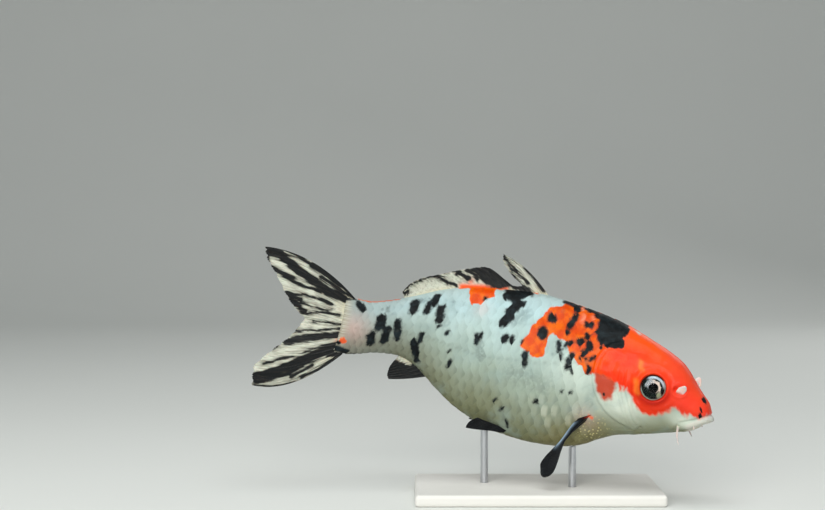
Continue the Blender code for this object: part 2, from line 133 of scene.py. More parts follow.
def bend(places):
    """Moves points (f, l, h) of the straight fish to their places in metres."""
    f, l, h = np.moveaxis(np.asarray(places, float), -1, 0)
    lean, pitch, turn = math.radians(BACK_LEAN), math.radians(HEAD_PITCH), heading(f)
    sideways = l * math.cos(lean) - h * math.sin(lean)
    upward = l * math.sin(lean) + h * math.cos(lean)
    along = np.interp(f, SPINE_F, SPINE_PATH[0]) + sideways * np.sin(turn)
    across = np.interp(f, SPINE_F, SPINE_PATH[1]) + sideways * np.cos(turn)
    x = along * math.cos(pitch) + upward * math.sin(pitch)
    z = upward * math.cos(pitch) - along * math.sin(pitch)
    return np.stack([x * UNIT, across * UNIT, z * UNIT + SPINE_HEIGHT], axis=-1)


TAIL_CLOSING_BACK, TAIL_CLOSING_BELLY = 0.1, 0.3     # how the outline runs on past the stem


def half_ring(f, angles):
    """The left half of the body's outline at each f: distance from the middle, and height."""
    past = np.clip((f - 100) / TAIL_ROOT, 0, 1)
    half = smooth_value(HALF_WIDTH, f) * np.sqrt(1 - past ** 2)
    back = smooth_value(BACK_LINE, f) + TAIL_CLOSING_BACK * TAIL_ROOT * past
    belly = smooth_value(BELLY_LINE, f) - TAIL_CLOSING_BELLY * TAIL_ROOT * past
    middle = smooth_value(WIDEST_HEIGHT, f)
    upper = np.sin(angles) > 0
    power = 2 / np.where(upper, smooth_value(BACK_FULLNESS, f), smooth_value(BELLY_FULLNESS, f))
    reach = np.where(upper, back - middle, middle - belly)
    l = half * np.abs(np.cos(angles)) ** power
    h = middle + reach * np.sign(np.sin(angles)) * np.abs(np.sin(angles)) ** power
    return l, h


TABLE_STEP = 0.1
TABLE_F = np.arange(-0.3, 100 + TAIL_ROOT + TABLE_STEP / 2, TABLE_STEP)
TABLE_SHARE = np.linspace(0, 1, 241)  # share of the way down the side


def measure_body():
    """The half girth at each place along the body, and the left side's points and normals."""
    angles = np.linspace(math.pi / 2, -math.pi / 2, 1201)
    l, h = half_ring(TABLE_F[:, None], angles[None, :])
    arcs = np.hypot(np.diff(l, axis=1), np.diff(h, axis=1))
    girth = np.concatenate([np.zeros((len(TABLE_F), 1)), np.cumsum(arcs, axis=1)], axis=1)
    points = np.empty((len(TABLE_F), len(TABLE_SHARE), 3))
    for row in range(len(TABLE_F)):
        at = TABLE_SHARE * girth[row, -1]
        points[row, :, 0] = TABLE_F[row]
        points[row, :, 1] = np.interp(at, girth[row], l[row])
        points[row, :, 2] = np.interp(at, girth[row], h[row])
    normals = np.cross(np.gradient(points, axis=0), np.gradient(points, axis=1))
    normals[:, 0, 1] = normals[:, -1, 1] = 0
    normals /= np.linalg.norm(normals, axis=2, keepdims=True) + 1e-12
    return girth[:, -1], points, normals


HALF_GIRTH, SIDE_POINTS, SIDE_NORMALS = measure_body()


def body_at(f, g, side):
    """Point and outward normal at a place down one side; past the midlines it crosses over."""
    f, g, side = np.broadcast_arrays(*(np.asarray(v, float) for v in (f, g, side)))
    whole = np.interp(f, TABLE_F, HALF_GIRTH)
    crossed = (g < 0) | (g > whole)
    g = np.abs(g)
    g = np.where(g > whole, 2 * whole - g, g)
    side = np.where(crossed, -side, side)
    row = np.clip((f - TABLE_F[0]) / TABLE_STEP, 0, len(TABLE_F) - 1.001)
    column = np.clip(g / whole, 0, 0.99999) * (len(TABLE_SHARE) - 1)
    i, j = row.astype(int), column.astype(int)
    u, v = (row - i)[..., None], (column - j)[..., None]
    mirror = np.stack([np.ones_like(side), side, np.ones_like(side)], axis=-1)

    def read(table):
        near = table[i, j] * (1 - v) + table[i, j + 1] * v
        far = table[i + 1, j] * (1 - v) + table[i + 1, j + 1] * v
        return (near * (1 - u) + far * u) * mirror
    normal = read(SIDE_NORMALS)
    return read(SIDE_POINTS), normal / (np.linalg.norm(normal, axis=-1, keepdims=True) + 1e-12)


def line_distance(x, y, points):
    """Distance of each place from a line of straight stretches."""
    nearest = np.full(np.shape(x), np.inf)
    points = np.array(points, float).reshape(-1, 2)
    if len(points) == 1:
        return np.hypot(x - points[0, 0], y - points[0, 1])
    for (ax, ay), (bx, by) in zip(points[:-1], points[1:]):
        dx, dy = bx - ax, by - ay
        t = np.clip(((x - ax) * dx + (y - ay) * dy) / (dx * dx + dy * dy + 1e-12), 0, 1)
        nearest = np.minimum(nearest, np.hypot(x - ax - t * dx, y - ay - t * dy))
    return nearest


def inside_depth(x, y, outline):
    """Distance from a closed outline: positive inside it, negative outside."""
    outline = np.array(outline, float)
    following = np.roll(outline, -1, axis=0)
    inside = np.zeros(np.shape(x), bool)
    for (ax, ay), (bx, by) in zip(outline, following):
        if ay != by:
            crosses = (ay > y) != (by > y)
            inside ^= crosses & (x < ax + (bx - ax) * (y - ay) / (by - ay))
    distance = line_distance(x, y, np.vstack([outline, outline[:1]]))
    return np.where(inside, distance, -distance)


# The pattern of the skin, in (f, g) on the side named, where a g below 0 lies over the back. Ink
# marks are (half width, places along the mark); the rest are outlines or edges.
INK_BOTH = [(0.45, (101.6, 1.0), (99.4, 0.1)), (0.7, (101.6, 14.4), (98.2, 15.0))]
INK_RIGHT = INK_BOTH + [
    (0.4, (98.2, 15.3), (96.6, 15.6)), (0.4, (101.8, 12.6), (100.8, 13.0)),
    (0.65, (97.8, 1.6), (96.8, 2.7)), (1.2, (91.5, 5.6), (91.4, 7.5)),
    (0.9, (89.3, 8.9), (89.4, 12.0)), (0.45, (91.3, 7.5), (89.3, 9.0)),
    (0.9, (93.2, 9.7), (92.7, 11.8)), (0.8, (87.0, 7.6), (86.2, 11.2)),
    (0.35, (87.1, 6.6), (86.0, 12.3)), (1.1, (83.6, 2.9), (83.5, 4.9)),
    (0.85, (78.2, 2.7), (78.5, 4.6)), (0.8, (79.7, 4.2), (80.2, 6.0)),
    (0.9, (76.5, 6.3), (76.2, 9.4)), (0.4, (76.0, 11.3)),
    (0.5, (80.0, 12.4), (80.1, 14.6)), (0.7, (81.8, 13.9), (80.4, 17.8)),
    (0.4, (80.4, 17.8), (79.5, 20.7)), (0.45, (73.3, 13.6)), (0.3, (71.6, 18.7)),
    (0.4, (70.9, 21.6), (71.0, 23.0)), (0.5, (65.3, 14.8), (64.9, 16.8), (64.1, 14.6)),
    (0.5, (65.2, 4.5)), (0.75, (57.3, 15.1), (57.1, 15.9)), (0.5, (55.3, 15.3), (55.2, 16.0)),
    (0.45, (56.1, 32.1)), (0.6, (53.8, 34.7)), (0.3, (52.0, 37.7), (51.1, 39.9)),
    (0.45, (44.8, 30.6), (44.1, 30.4)), (0.4, (34.9, 25.0)), (0.35, (37.5, 25.7)),
    (0.65, (50.5, 18.9), (50.1, 21.2)), (0.3, (52.3, 15.9)), (1.1, (45.8, 7.8), (45.5, 8.4)),
    (1.25, (47.1, 12.3), (47.0, 12.9)), (0.75, (39.5, 5.6), (40.1, 8.6)), (0.5, (40.2, 10.4)),
    (0.75, (35.7, 6.8), (34.7, 6.5)), (0.8, (34.4, 9.6)), (0.8, (36.2, 12.0), (35.7, 11.7)),
    (0.5, (39.4, 13.4), (38.2, 12.8)), (0.3, (39.7, 14.5)), (0.85, (33.0, 11.5), (33.0, 12.4)),
    (0.55, (34.1, 14.3), (33.4, 13.8)), (0.35, (34.5, 16.1)), (0.2, (33.0, 15.5)),
    (0.3, (29.8, 11.1)), (0.3, (31.9, 15.3), (30.7, 14.4)), (0.35, (31.7, 16.9), (31.5, 18.0)),
    (0.3, (38.0, 17.4), (37.7, 19.8)), (0.35, (37.8, 17.4), (36.0, 19.9)),
    (1.2, (43.2, 1.0), (40.6, 1.4)), (0.8, (40.2, 2.4), (39.9, 3.0)),
    (1.1, (37.6, 0.8), (34.8, 1.5)), (0.6, (34.4, 2.8), (33.6, 3.0)),
    (0.3, (2.2, 1.3), (2.2, 1.9)), (0.14, (2.0, 4.5)), (0.22, (1.6, 5.8), (1.8, 6.1)),
    (0.12, (26.1, 21.7)), (0.75, (41.6, 14.2), (41.2, 15.5)), (0.4, (40.3, 16.8), (39.9, 17.6)),
    (0.7, (36.9, 16.1)),
]
INK_NAPE = [(34.4, 1.6), (33.7, -1.5), (27.0, -1.5), (25.2, 2.2), (24.6, 3.8), (25.0, 5.4),
            (25.6, 6.3), (24.4, 6.9), (24.3, 8.2), (25.4, 9.6), (26.9, 10.0), (28.3, 10.6),
            (29.5, 10.3), (30.6, 10.4), (31.8, 9.3), (32.9, 8.1), (32.8, 6.7), (32.8, 4.8)]
INK_BACK = [(60.6, -0.8), (53.2, -0.8), (52.4, 2.4), (54.1, 3.1), (55.9, 4.2), (54.0, 5.0),
            (54.0, 5.9), (55.1, 7.5), (56.1, 8.7), (56.1, 10.4), (57.6, 12.6), (60.0, 12.2),
            (59.9, 10.3), (59.2, 9.2), (59.0, 7.7), (57.9, 5.8), (58.3, 5.1), (60.6, 4.2)]
INK_LEFT = INK_BOTH + [
    (1.3, (95.0, 4.0), (93.5, 7.0)), (1.0, (90.0, 9.0), (88.5, 11.0)), (0.9, (86.0, 3.5)),
    (1.5, (83.0, 6.0), (81.0, 10.0)), (0.8, (78.0, 13.0)), (0.5, (75.0, 18.0)),
    (1.8, (71.0, 3.0), (68.0, 7.5)), (1.2, (67.8, 8.5), (66.0, 11.5)), (0.6, (63.0, 15.0)),
    (0.4, (60.5, 18.5)), (2.0, (57.0, 0.4), (53.0, 3.5)), (1.6, (53.2, 4.0), (51.5, 9.0)),
    (0.9, (50.5, 11.0), (51.0, 13.5)), (0.5, (54.0, 20.0)), (0.35, (48.0, 27.0)),
    (1.3, (46.5, 4.5), (45.0, 7.5)), (0.8, (42.8, 11.0)), (1.1, (40.5, 6.5), (39.5, 8.5)),
    (0.6, (42.0, 15.5)), (0.9, (37.0, 12.0), (36.0, 13.0)), (0.5, (34.5, 16.5)),
    (1.6, (37.0, 1.5), (33.0, 3.5)), (0.7, (31.5, 7.5)), (0.4, (29.0, 12.5)),
    (0.4, (38.5, 24.0)), (0.3, (44.0, 33.0)), (0.35, (3.0, 3.0)), (0.45, (2.0, 6.0)),
]
SMOKE_RIGHT = [      # (strength, half width, places): ink that lies deep, under pale skin
    (0.5, 0.4, (91.8, 2.8)), (0.6, 0.4, (90.3, 2.5), (90.2, 3.6)), (0.35, 0.5, (88.7, 4.9)),
    (0.5, 0.8, (83.0, 3.0), (80.0, 2.9)), (0.35, 0.5, (74.0, 5.4)), (0.4, 0.5, (70.3, 6.4)),
    (0.45, 0.45, (71.8, 8.1)), (0.5, 0.4, (62.7, 17.7)), (0.45, 0.4, (59.6, 22.6)),
    (0.45, 1.7, (55.5, 10.4), (53.4, 8.2)), (0.7, 0.7, (50.0, 22.0)), (0.5, 0.6, (65.0, 17.6)),
    (0.28, 2.6, (53.0, 24.5), (43.0, 26.0)),
    (0.45, 1.3, (63.9, 17.6), (62.8, 20.6)),
    (0.6, 0.9, (36.9, 15.9)), (0.55, 0.9, (37.0, 19.4)), (0.4, 0.35, (42.6, 16.9)),
    (0.3, 1.0, (74.6, 9.8), (75.0, 11.4)), (0.25, 1.2, (63.7, 19.0)), (0.3, 0.4, (48.7, 8.7)),
    (0.3, 0.7, (53.2, 34.0)), (0.25, 0.8, (43.5, 4.9)),
]
SMOKE_LEFT = [(0.5, 1.4, (65.0, 8.0), (64.0, 11.0)), (0.5, 0.8, (49.0, 14.0)),
              (0.45, 0.9, (80.0, 12.0)), (0.4, 0.5, (70.0, 15.0)), (0.5, 0.8, (38.5, 17.0))]
FACE_EDGE_RIGHT = [(31.0, 18.2), (29.0, 17.4), (24.4, 17.2), (23.2, 17.1), (22.3, 18.8),
                   (20.6, 17.1), (18.9, 18.5), (17.5, 20.0), (15.7, 20.5), (13.4, 19.5),
                   (11.0, 17.0), (9.1, 14.1), (8.0, 11.8), (6.9, 11.5), (5.5, 10.5), (4.0, 8.2),
                   (2.3, 7.3), (1.0, 4.9), (0.3, 2.6), (-1.5, 2.0)]
SHOULDER_RIGHT = [(42.7, -1.0), (43.5, 3.2), (46.6, 4.8), (47.6, 6.9), (50.5, 11.1),
                  (50.9, 13.3), (52.6, 16.0), (52.0, 17.6), (49.7, 18.5), (47.2, 19.5),
                  (45.5, 18.2), (45.1, 16.0), (45.3, 13.8), (44.3, 12.1), (42.7, 12.6),
                  (40.2, 13.0), (38.6, 15.0), (35.9, 16.6), (33.8, 17.9), (31.9, 18.7)]
FACE_EDGE_LEFT = [(30.0, 17.5), (27.0, 18.5), (24.0, 16.5), (21.0, 18.0), (18.0, 19.8),
                  (14.0, 19.8), (10.5, 16.0), (8.5, 11.6), (6.5, 11.8), (4.5, 8.6), (2.3, 7.3),
                  (1.0, 4.9), (0.3, 2.6), (-1.5, 2.0)]
SHOULDER_LEFT = [(39.5, -1.0), (41.5, 2.5), (44.5, 4.5), (45.5, 8.5), (43.5, 12.5),
                 (40.0, 12.0), (38.5, 15.5), (35.0, 18.5), (32.0, 17.5)]
OVER_THE_BACK = [(-1.5, -2.0), (20, -2.0)]
SADDLE_RIGHT = [(69.8, -0.6), (63.0, -0.6), (62.9, 4.0), (64.9, 4.7), (65.9, 6.3), (68.8, 6.2),
                (69.8, 3.0)]
SADDLE_LEFT = [(73.0, -0.6), (64.0, -0.6), (63.5, 3.0), (67.0, 5.0), (69.5, 3.5), (72.0, 6.5)]
COVER_PATCH = [(31.0, 16.0), (29.4, 18.6), (28.0, 21.8), (25.8, 23.3), (23.9, 21.7),
               (23.5, 18.2), (24.0, 15.0)]


FAR_OUTSIDE = 9.0


def strokes_depth(f, g, strokes):
    """How far inside the nearest of the ink strokes each place lies."""
    depth = np.full(np.shape(f), -FAR_OUTSIDE)
    for half, *places in strokes:
        depth = np.maximum(depth, half - line_distance(f, g, places))
    return depth


def smoke_strength(f, g, strokes):
    """How dark the smoky ink under the skin is at each place."""
    smoke = np.zeros(np.shape(f))
    for strength, half, *places in strokes:
        smoke = np.maximum(smoke, strength * ease(line_distance(f, g, places), half * 1.8, 0.2))
    return smoke


EDGE_WANDER = 0.12


def wander(f, g):
    """Moves places a little to and fro, so that the edges of the marks wander as in life."""
    down = np.sin(2.9 * f + 1.7 * g) + np.sin(1.3 * f - 2.7 * g + 1)
    down += 0.4 * np.sin(5.3 * f + 4.1 * g)
    along = np.sin(2.1 * g - 1.9 * f) + np.sin(1.1 * g + 2.9 * f + 2)
    along += 0.4 * np.sin(5.9 * g - 3.3 * f)
    return f + EDGE_WANDER * along, g + EDGE_WANDER * down


LIP_TOP = [(-0.3, 0.7), (0.2, 0.35), (2.1, -1.1), (4, -2.5), (6, -3.6)]     # in (f, h)
WHITE_IN_THE_RED = [(0.75, (23.2, 0.9), (22.6, 1.2)), (0.3, (21.9, 17.6), (21.5, 18.6))]
PALE_GAPS = [(0.4, [(39.2, 0.4), (38.6, 2.8)]), (0.55, [(37.4, 4.3), (37.3, 6.4)]),
             (0.4, [(35.2, 3.6), (34.6, 4.6)])]
# painted sheen behind the eye: (half width, line)
PAINTED_SHEENS = [(0.7, [(18.9, 9.4), (18.4, 10.6)]), (0.8, [(18.8, 14.3), (18.2, 16.4)])]
FIELD_LIMIT = 2                  # beyond this far from an edge, its distance no longer matters


def spot(f, g, middle, radii, width=1.0):
    """An oval spot: 1 in its middle, fading out round it."""
    return bump(np.hypot((f - middle[0]) / radii[0], (g - middle[1]) / radii[1]), width)


def pattern(f, g, side):
    """The fields that colour the skin and the scales alike, each a number at every place."""
    h = body_at(f, g, side)[0][..., 2]
    true_f, true_g, true_right = f, g, np.where(side < 0, g, -g)
    f, right = wander(true_f, true_right)
    left = wander(true_f, -true_right)[1]
    over_back = np.abs(true_g)

    # ink, and the smoke of ink that lies deep
    ink = np.maximum(strokes_depth((f + true_f) / 2, (right + true_right) / 2, INK_RIGHT),
                     strokes_depth(f, left, INK_LEFT))
    for outline in (INK_NAPE, INK_BACK):
        ink = np.maximum(ink, inside_depth(f, right, outline) - 0.22)
    smoke = np.maximum(smoke_strength(f, right, SMOKE_RIGHT),
                       smoke_strength(f, left, SMOKE_LEFT))

    # orange: face and shoulders, the saddles, thin lines along the back, and two spots
    face_right = SHOULDER_RIGHT + FACE_EDGE_RIGHT + OVER_THE_BACK
    face_left = SHOULDER_LEFT + FACE_EDGE_LEFT + OVER_THE_BACK
    warm = np.maximum.reduce([
        inside_depth(f, right, face_right), inside_depth(f, left, face_left),
        inside_depth(f, right, SADDLE_RIGHT), inside_depth(f, left, SADDLE_LEFT),
        0.35 - line_distance(f, over_back, [(52, 0.3), (63, 0.3)]),
        0.9 - np.hypot(f - 99.9, right - 12.1), 0.4 - np.hypot(f - 28.4, right - 28.9)])
    lip_top = np.interp(true_f, *np.array(LIP_TOP).T)
    over_mouth = true_f < LIP_TOP[-1][0]
    warm = np.where(over_mouth, np.minimum(warm, h - lip_top), warm)
    ink = np.where(over_mouth, np.minimum(ink, h - lip_top - 0.3), ink)
    warm = np.minimum(warm, -strokes_depth(f, right, WHITE_IN_THE_RED))
    warm = np.maximum(warm, 0.3 - line_distance(f, over_back, [(98, 0), (87.6, 0)]))
    amber = inside_depth(f, right, COVER_PATCH)

    # softer tints, with painted highlights, glints and shade
    g = np.maximum(right, left)
    blush = 0.8 * spot(f, g, (98, 8.0), (1, 1), 4.0) + 0.5 * spot(f, g, (30, 30), (1, 1), 3)
    blush = np.maximum(blush, 0.5 * spot(f, right, (65.5, 7.6), (1, 1), 2.0))
    for width, gap in PALE_GAPS:
        blush = np.maximum(blush, bump(line_distance(f, right, gap), width))
    # painted sheen behind the eye
    glow = np.maximum.reduce([bump(line_distance(f, g, line), width) for width, line in PAINTED_SHEENS])
    # painted highlights: pale patches behind the gill cover, on the cover and low on the snout
    shine = np.maximum.reduce([0.6 * spot(true_f, true_g, (34, 20), (9, 6)),
                               spot(true_f, h, (21, -1.4), (7, 3.8), 1.1),
                               0.8 * spot(true_f, h, (5, -2.2), (5, 2.0))])
    # painted glints, low behind the right pectoral root
    gilt = spot(true_f, true_g, (27.8, 33), (4.0, 4.5)) * (true_right > 0)
    # painted shade round the lower half of the eye socket
    socket = bump(np.hypot(true_f - EYE_F, h - EYE_H) - 3.7, 1.1) * ease(h - EYE_H, 2.5, -1.5)
    lip = ease(h, lip_top + 0.2, lip_top - 0.2) * ease(true_f, 5.6, 4.0)
    ink, warm, amber = (np.clip(v, -FIELD_LIMIT, FIELD_LIMIT) for v in (ink, warm, amber))
    return dict(ink=ink, warm=warm, amber=amber, smoke=smoke, blush=blush, glow=glow, gilt=gilt,
                shine=shine, socket=socket, lip=lip, face=ease(f, 34, 25),
                stem=ease(true_f, 98.6, 101.2),
                depth=true_g / np.interp(true_f, TABLE_F, HALF_GIRTH))


# The forms of the head, in (f, h), the same on both sides
EYE_F, EYE_H, EYE_RADIUS = 14.3, 4.25, 3.3
EYE_FORWARD, EYE_UP = math.radians(18), math.radians(4)
GILL_COVER = [(21, 11.5), (23.3, 13.1), (25.5, 13.6), (27.8, 12.6), (29.4, 10.8), (30.4, 8.0),
              (30.5, 5.2), (29.9, 2.0), (28.6, -0.8), (27.2, -2.8), (25.5, -4.5), (23.6, -5.8),
              (21.6, -6.7), (19.4, -7.5), (17.3, -7.9), (15.6, -6.2), (18.3, -1.8), (19.7, 4.5)]
MOUTH_LINE = [(-3, 0.1), (-0.6, -1.4), (1.2, -2.5), (3.0, -3.6), (4.6, -4.4), (6.5, -5.2)]
CHEEK_BONE = [(21.6, 7.5), (21.5, 2.4), (20.1, -0.4), (18.9, -2.9), (17.7, -5.2), (15.2, -6.9)]
EYE_SOCKET_BONES = [(8.6, 1.4), (10.0, -0.9), (13.0, -1.8), (16.6, -0.8), (18.6, 2.2), (18.9, 5.4)]
EYE_PLANE = 0.985                # share of the head's half width at which the eye is set
COAT = 0.15                      # how far the skin lies under the tops of the scales


def eye_axes(side):
    """The middle of an eye on the head's surface, and the way it looks, ahead and up."""
    axis = np.array([-math.sin(EYE_FORWARD) * math.cos(EYE_UP),
                     side * math.cos(EYE_FORWARD) * math.cos(EYE_UP), math.sin(EYE_UP)])
    ahead = np.array([-math.cos(EYE_FORWARD), -side * math.sin(EYE_FORWARD), 0])
    half = smooth_value(HALF_WIDTH, EYE_F) * EYE_PLANE
    return np.array([EYE_F, side * half, EYE_H]), axis, ahead, side * np.cross(axis, ahead)


SCALE_EDGE = [(0, 25.6), (5, 26.6), (10, 29.4), (15, 31.2), (17.5, 31.2), (22.5, 29.4),
              (26, 27.8), (28.5, 28.4), (33, 27.5), (45, 27.0)]     # in (g, f)


def scale_edge(g):
    """Where the scales start behind the head, for each place down the side."""
    return np.interp(g, *np.array(SCALE_EDGE).T)


NOSTRIL_FRONT, NOSTRIL_REAR, NOSTRIL_MIDDLE = (7.0, 5.0), (8.9, 5.1), (8.0, 5.0)
MOUTH_CORNER = (7.4, -4.0)
MOUTH_FOLD = [(6.9, -3.8), (7.6, -5.0), (7.7, -5.8)]
PECTORAL_ROOT, PELVIC_ROOT, VENT_F = (28.6, -7.4), (51.8, 4.4, -18), 74.2


def rolls(distance, *shapes):
    """Ridges and grooves beside a line: each (height, distance from the line, width)."""
    return sum(height * bump(distance - place, width) for height, place, width in shapes)


def hide_relief(points, g, side):
    """How far the skin stands out of the plain body form at each point, in hundredths."""
    f, l, h = np.moveaxis(points, -1, 0)
    out = np.abs(l)
    lift = -COAT * ease(f - scale_edge(g), -0.5, 2.5)

    # eye socket: a soft rolled rim, with the skin tucked in behind the ball
    centre, axis = eye_axes(1)[:2]
    away = np.stack([f, out, h], axis=-1) - centre
    radius = np.linalg.norm(away - (away @ axis)[..., None] * axis, axis=-1)
    lift += rolls(radius, (0.34, 3.75, 0.42), (-0.14, 4.9, 0.6)) - 3.0 * ease(radius, 3.45, 2.4)

    # gill cover: a thin free plate behind and below, with a groove under its edge
    cover = inside_depth(f, h, GILL_COVER)
    free = ease(f - 0.55 * h, 15, 21)
    plate = ease(cover, -0.15, 0.5) * (0.42 - 0.32 * ease(cover, 0.5, 6.0))
    groove = 0.14 * bump(cover, 1.0) * (cover < 0)
    lift += free * (plate - groove + rolls(cover, (-0.05, 1.25, 0.30), (0.10, 2.6, 1.0)))

    # cheek: the curved rim of the cheek bone, with soft folds behind it
    rim_f, rim_h = np.array(CHEEK_BONE[::-1]).T
    behind = line_distance(f, h, CHEEK_BONE) * np.sign(f - np.interp(h, rim_h, rim_f))
    lift += ease(h, 8, 3) * ease(f, 13, 16) * rolls(
        behind, (0.16, -0.5, 0.5), (-0.20, 0.1, 0.28), (-0.12, 1.2, 0.22), (-0.10, 2.1, 0.25))
    lift -= 0.07 * bump(line_distance(f, h, EYE_SOCKET_BONES), 0.30)

    # mouth: two fleshy lips that part along a slit and end in a fold at its corner
    over = (h - np.interp(f, *np.array(MOUTH_LINE).T)) * 0.86
    lift += ease(f, 7.4, 5.2) * rolls(
        over, (0.50, 0.80, 0.62), (0.14, -0.70, 0.50), (-0.60, 0, 0.15), (-0.30, 1.85, 0.28),
        (-0.16, -1.75, 0.30))
    lift += 0.20 * spot(f, h, MOUTH_CORNER, (1, 1), 1.1)
    lift -= 0.18 * bump(line_distance(f, h, MOUTH_FOLD), 0.35)

    # nostrils: two pits each side, with a low wall round them
    lift -= 0.75 * spot(f, h, NOSTRIL_FRONT, (1, 1 / 1.1), 0.42)
    lift -= 0.85 * spot(f, h, NOSTRIL_REAR, (1, 1 / 0.9), 0.50)
    lift += 0.18 * bump(np.hypot(f - NOSTRIL_MIDDLE[0], h - NOSTRIL_MIDDLE[1]) - 1.75, 0.40)

    # throat: folds of the gill skin under the cover, and a groove down the middle
    under = ease(h, -5.5, -7.0) * ease(f, 24, 21) * ease(f, 6, 9)
    fold = out - np.interp(f, [6, 14, 24], [2.2, 3.0, 4.4])
    lift -= under * (rolls(fold, (0.16, 0, 0.25), (0.14, 0.95, 0.25), (0.12, 1.9, 0.25))
                     + 0.20 * bump(l, 0.35))

    # roots of the paired fins, the keel of the belly, the root of the anal fin, and the vent
    lift += 0.55 * spot(f, h, PECTORAL_ROOT, (1, 1), 1.5) * (out > 2)
    pelvic = np.stack([f, out, h], axis=-1) - PELVIC_ROOT
    lift += 0.45 * bump(np.linalg.norm(pelvic, axis=-1), 1.8)
    lift += 0.25 * bump(g, 0.7) * ease(f, 46.5, 49) * ease(f, 88, 86)
    below = h < 0
    lift += 0.20 * bump(l, 0.7) * below * ease(f, 74.5, 76.5) * ease(f, 86, 84.5)
    lift += 0.40 * spot(f, l, (VENT_F, 0), (1, 1), 0.8) * below
    lift -= 0.50 * spot(f, l, (VENT_F + 0.1, 0), (1, 1), 0.3) * below

    # flesh is never quite even
    waves = (np.sin(0.9 * f + 1.3 * h) * np.sin(1.1 * h - 0.5 * f + 2 * side)
             + 0.6 * np.sin(2.1 * f - 1.2 * h + side) * np.sin(1.7 * h + 0.8 * f))
    return lift + 0.035 * ease(f, 36, 28) * waves * ease(radius, 3.6, 5)


SKIN_RINGS, NOSE_RINGS, SKIN_ROUND = 300, 9, 280
SEAM_GAP = 2e-7                  # corners closer than this, in metres, are one


def skin_rows():
    """Places of the rings along the fish: close together on the head, wider on the trunk."""
    share = np.linspace(0, 1, SKIN_RINGS)
    return np.interp(share, [0, 0.08, 0.70, 0.76, 1], [-0.3, 2.6, 32.5, 37, 100 + TAIL_ROOT])


def select_only(piece):
    bpy.ops.object.select_all(action="DESELECT")
    piece.select_set(True)
    bpy.context.view_layer.objects.active = piece


def laid_grid(name, places):
    """A flat grid with its corners laid on the places, an array (rows, columns, 3) in metres.

    Returns it, and where in such an array each of its corners is found."""
    rows, columns = places.shape[:2]
    bpy.ops.object.select_all(action="DESELECT")
    bpy.ops.mesh.primitive_grid_add(x_subdivisions=rows - 1, y_subdivisions=columns - 1, size=2)
    grid = bpy.context.object
    grid.name = grid.data.name = name
    corners = np.empty(len(grid.data.vertices) * 3)
    grid.data.vertices.foreach_get("co", corners)
    corners = corners.reshape(-1, 3)
    at = (np.rint((corners[:, 0] + 1) / 2 * (rows - 1)).astype(int),
          np.rint((corners[:, 1] + 1) / 2 * (columns - 1)).astype(int))
    grid.data.vertices.foreach_set("co", places[at].ravel())
    return grid, at


def store(piece, name, values):
    """Keeps one number, or a vector, for each vertex, which the materials read."""
    values = np.asarray(values, float)
    kind = "FLOAT" if values.ndim == 1 else "FLOAT_VECTOR"
    field = piece.data.attributes.new(name, kind, "POINT")
    field.data.foreach_set("value" if values.ndim == 1 else "vector", values.ravel())


def close_up(piece, fill=False):
    """Merges the seams, fills the ends if asked to, and turns the faces outwards."""
    select_only(piece)
    bpy.ops.object.mode_set(mode="EDIT")
    bpy.ops.mesh.select_all(action="SELECT")
    bpy.ops.mesh.remove_doubles(threshold=SEAM_GAP)
    if fill:
        bpy.ops.mesh.fill_holes(sides=0)
    bpy.ops.mesh.normals_make_consistent(inside=False)
    bpy.ops.object.mode_set(mode="OBJECT")
    bpy.ops.object.shade_smooth()


def hollow_stem_end(points, f):
    """Draws the top and bottom of the stem's end back, where the tail's rays are rooted."""
    points[..., 0] += 0.7 * ease(f, 95, 101) * (points[..., 2] / 8) ** 2


def make_skin():
    """Rings of the body form, closed by a blunt nose and by the tail's pinched end."""
    f = skin_rows()[:, None]
    turn = np.linspace(0, 1, SKIN_ROUND + 1)[None, :]      # belly, left side, back, right side
    side = np.where(turn < 0.5, 1.0, -1.0)
    share = np.abs(1 - 2 * turn)
    g = share * np.interp(f, TABLE_F, HALF_GIRTH)
    f, g, side = np.broadcast_arrays(f, g, side)
    points, normals = body_at(f, g, side)
    points = points + normals * hide_relief(points, g, side)[..., None]
    hollow_stem_end(points, f)
    points[-1] = (points[-1] + points[-1, ::-1]) / 2       # the two sides meet at the tail's end
    points[:, -1] = points[:, 0]                           # and along the belly
    middle = points[0].mean(axis=0)
    shrink = np.sin(np.linspace(0, math.pi / 2, NOSE_RINGS))[:-1, None, None]
    nose = middle + (points[0] - middle) * shrink
    nose[..., 0] -= 0.30 * (1 - shrink[..., 0] ** 2)
    fields = {name: np.concatenate([np.repeat(values[:1], NOSE_RINGS - 1, axis=0), values])
              for name, values in pattern(f, g, side).items()}
    skin, at = laid_grid("skin", bend(np.concatenate([nose, points])))
    for name, values in fields.items():
        store(skin, name, values[at])
    skin.data.uv_layers[0].name = "OFBake"
    close_up(skin)
    skin.data.flip_normals()               # the pinched end has them all recalculated inwards
    return skin


def to_light(colour):
    """A colour as the eye reads it, 0 to 255, turned into the light it gives."""
    return tuple((c / 255 / 12.92) if c < 10 else ((c / 255 + 0.055) / 1.055) ** 2.4
                 for c in colour)


class Signal:
    """A number in a material: arithmetic on it adds the Math nodes."""

    def __init__(self, paint, socket):
        self.paint, self.socket = paint, socket

    def _math(self, operation, first, second):
        return self.paint.node("ShaderNodeMath", dict(operation=operation), {0: first, 1: second})

    def __add__(self, other):
        return self._math("ADD", self, other)

    def __sub__(self, other):
        return self._math("SUBTRACT", self, other)

    def __rsub__(self, other):
        return self._math("SUBTRACT", other, self)

    def __mul__(self, other):
        return self._math("MULTIPLY", self, other)

    __radd__, __rmul__ = __add__, __mul__


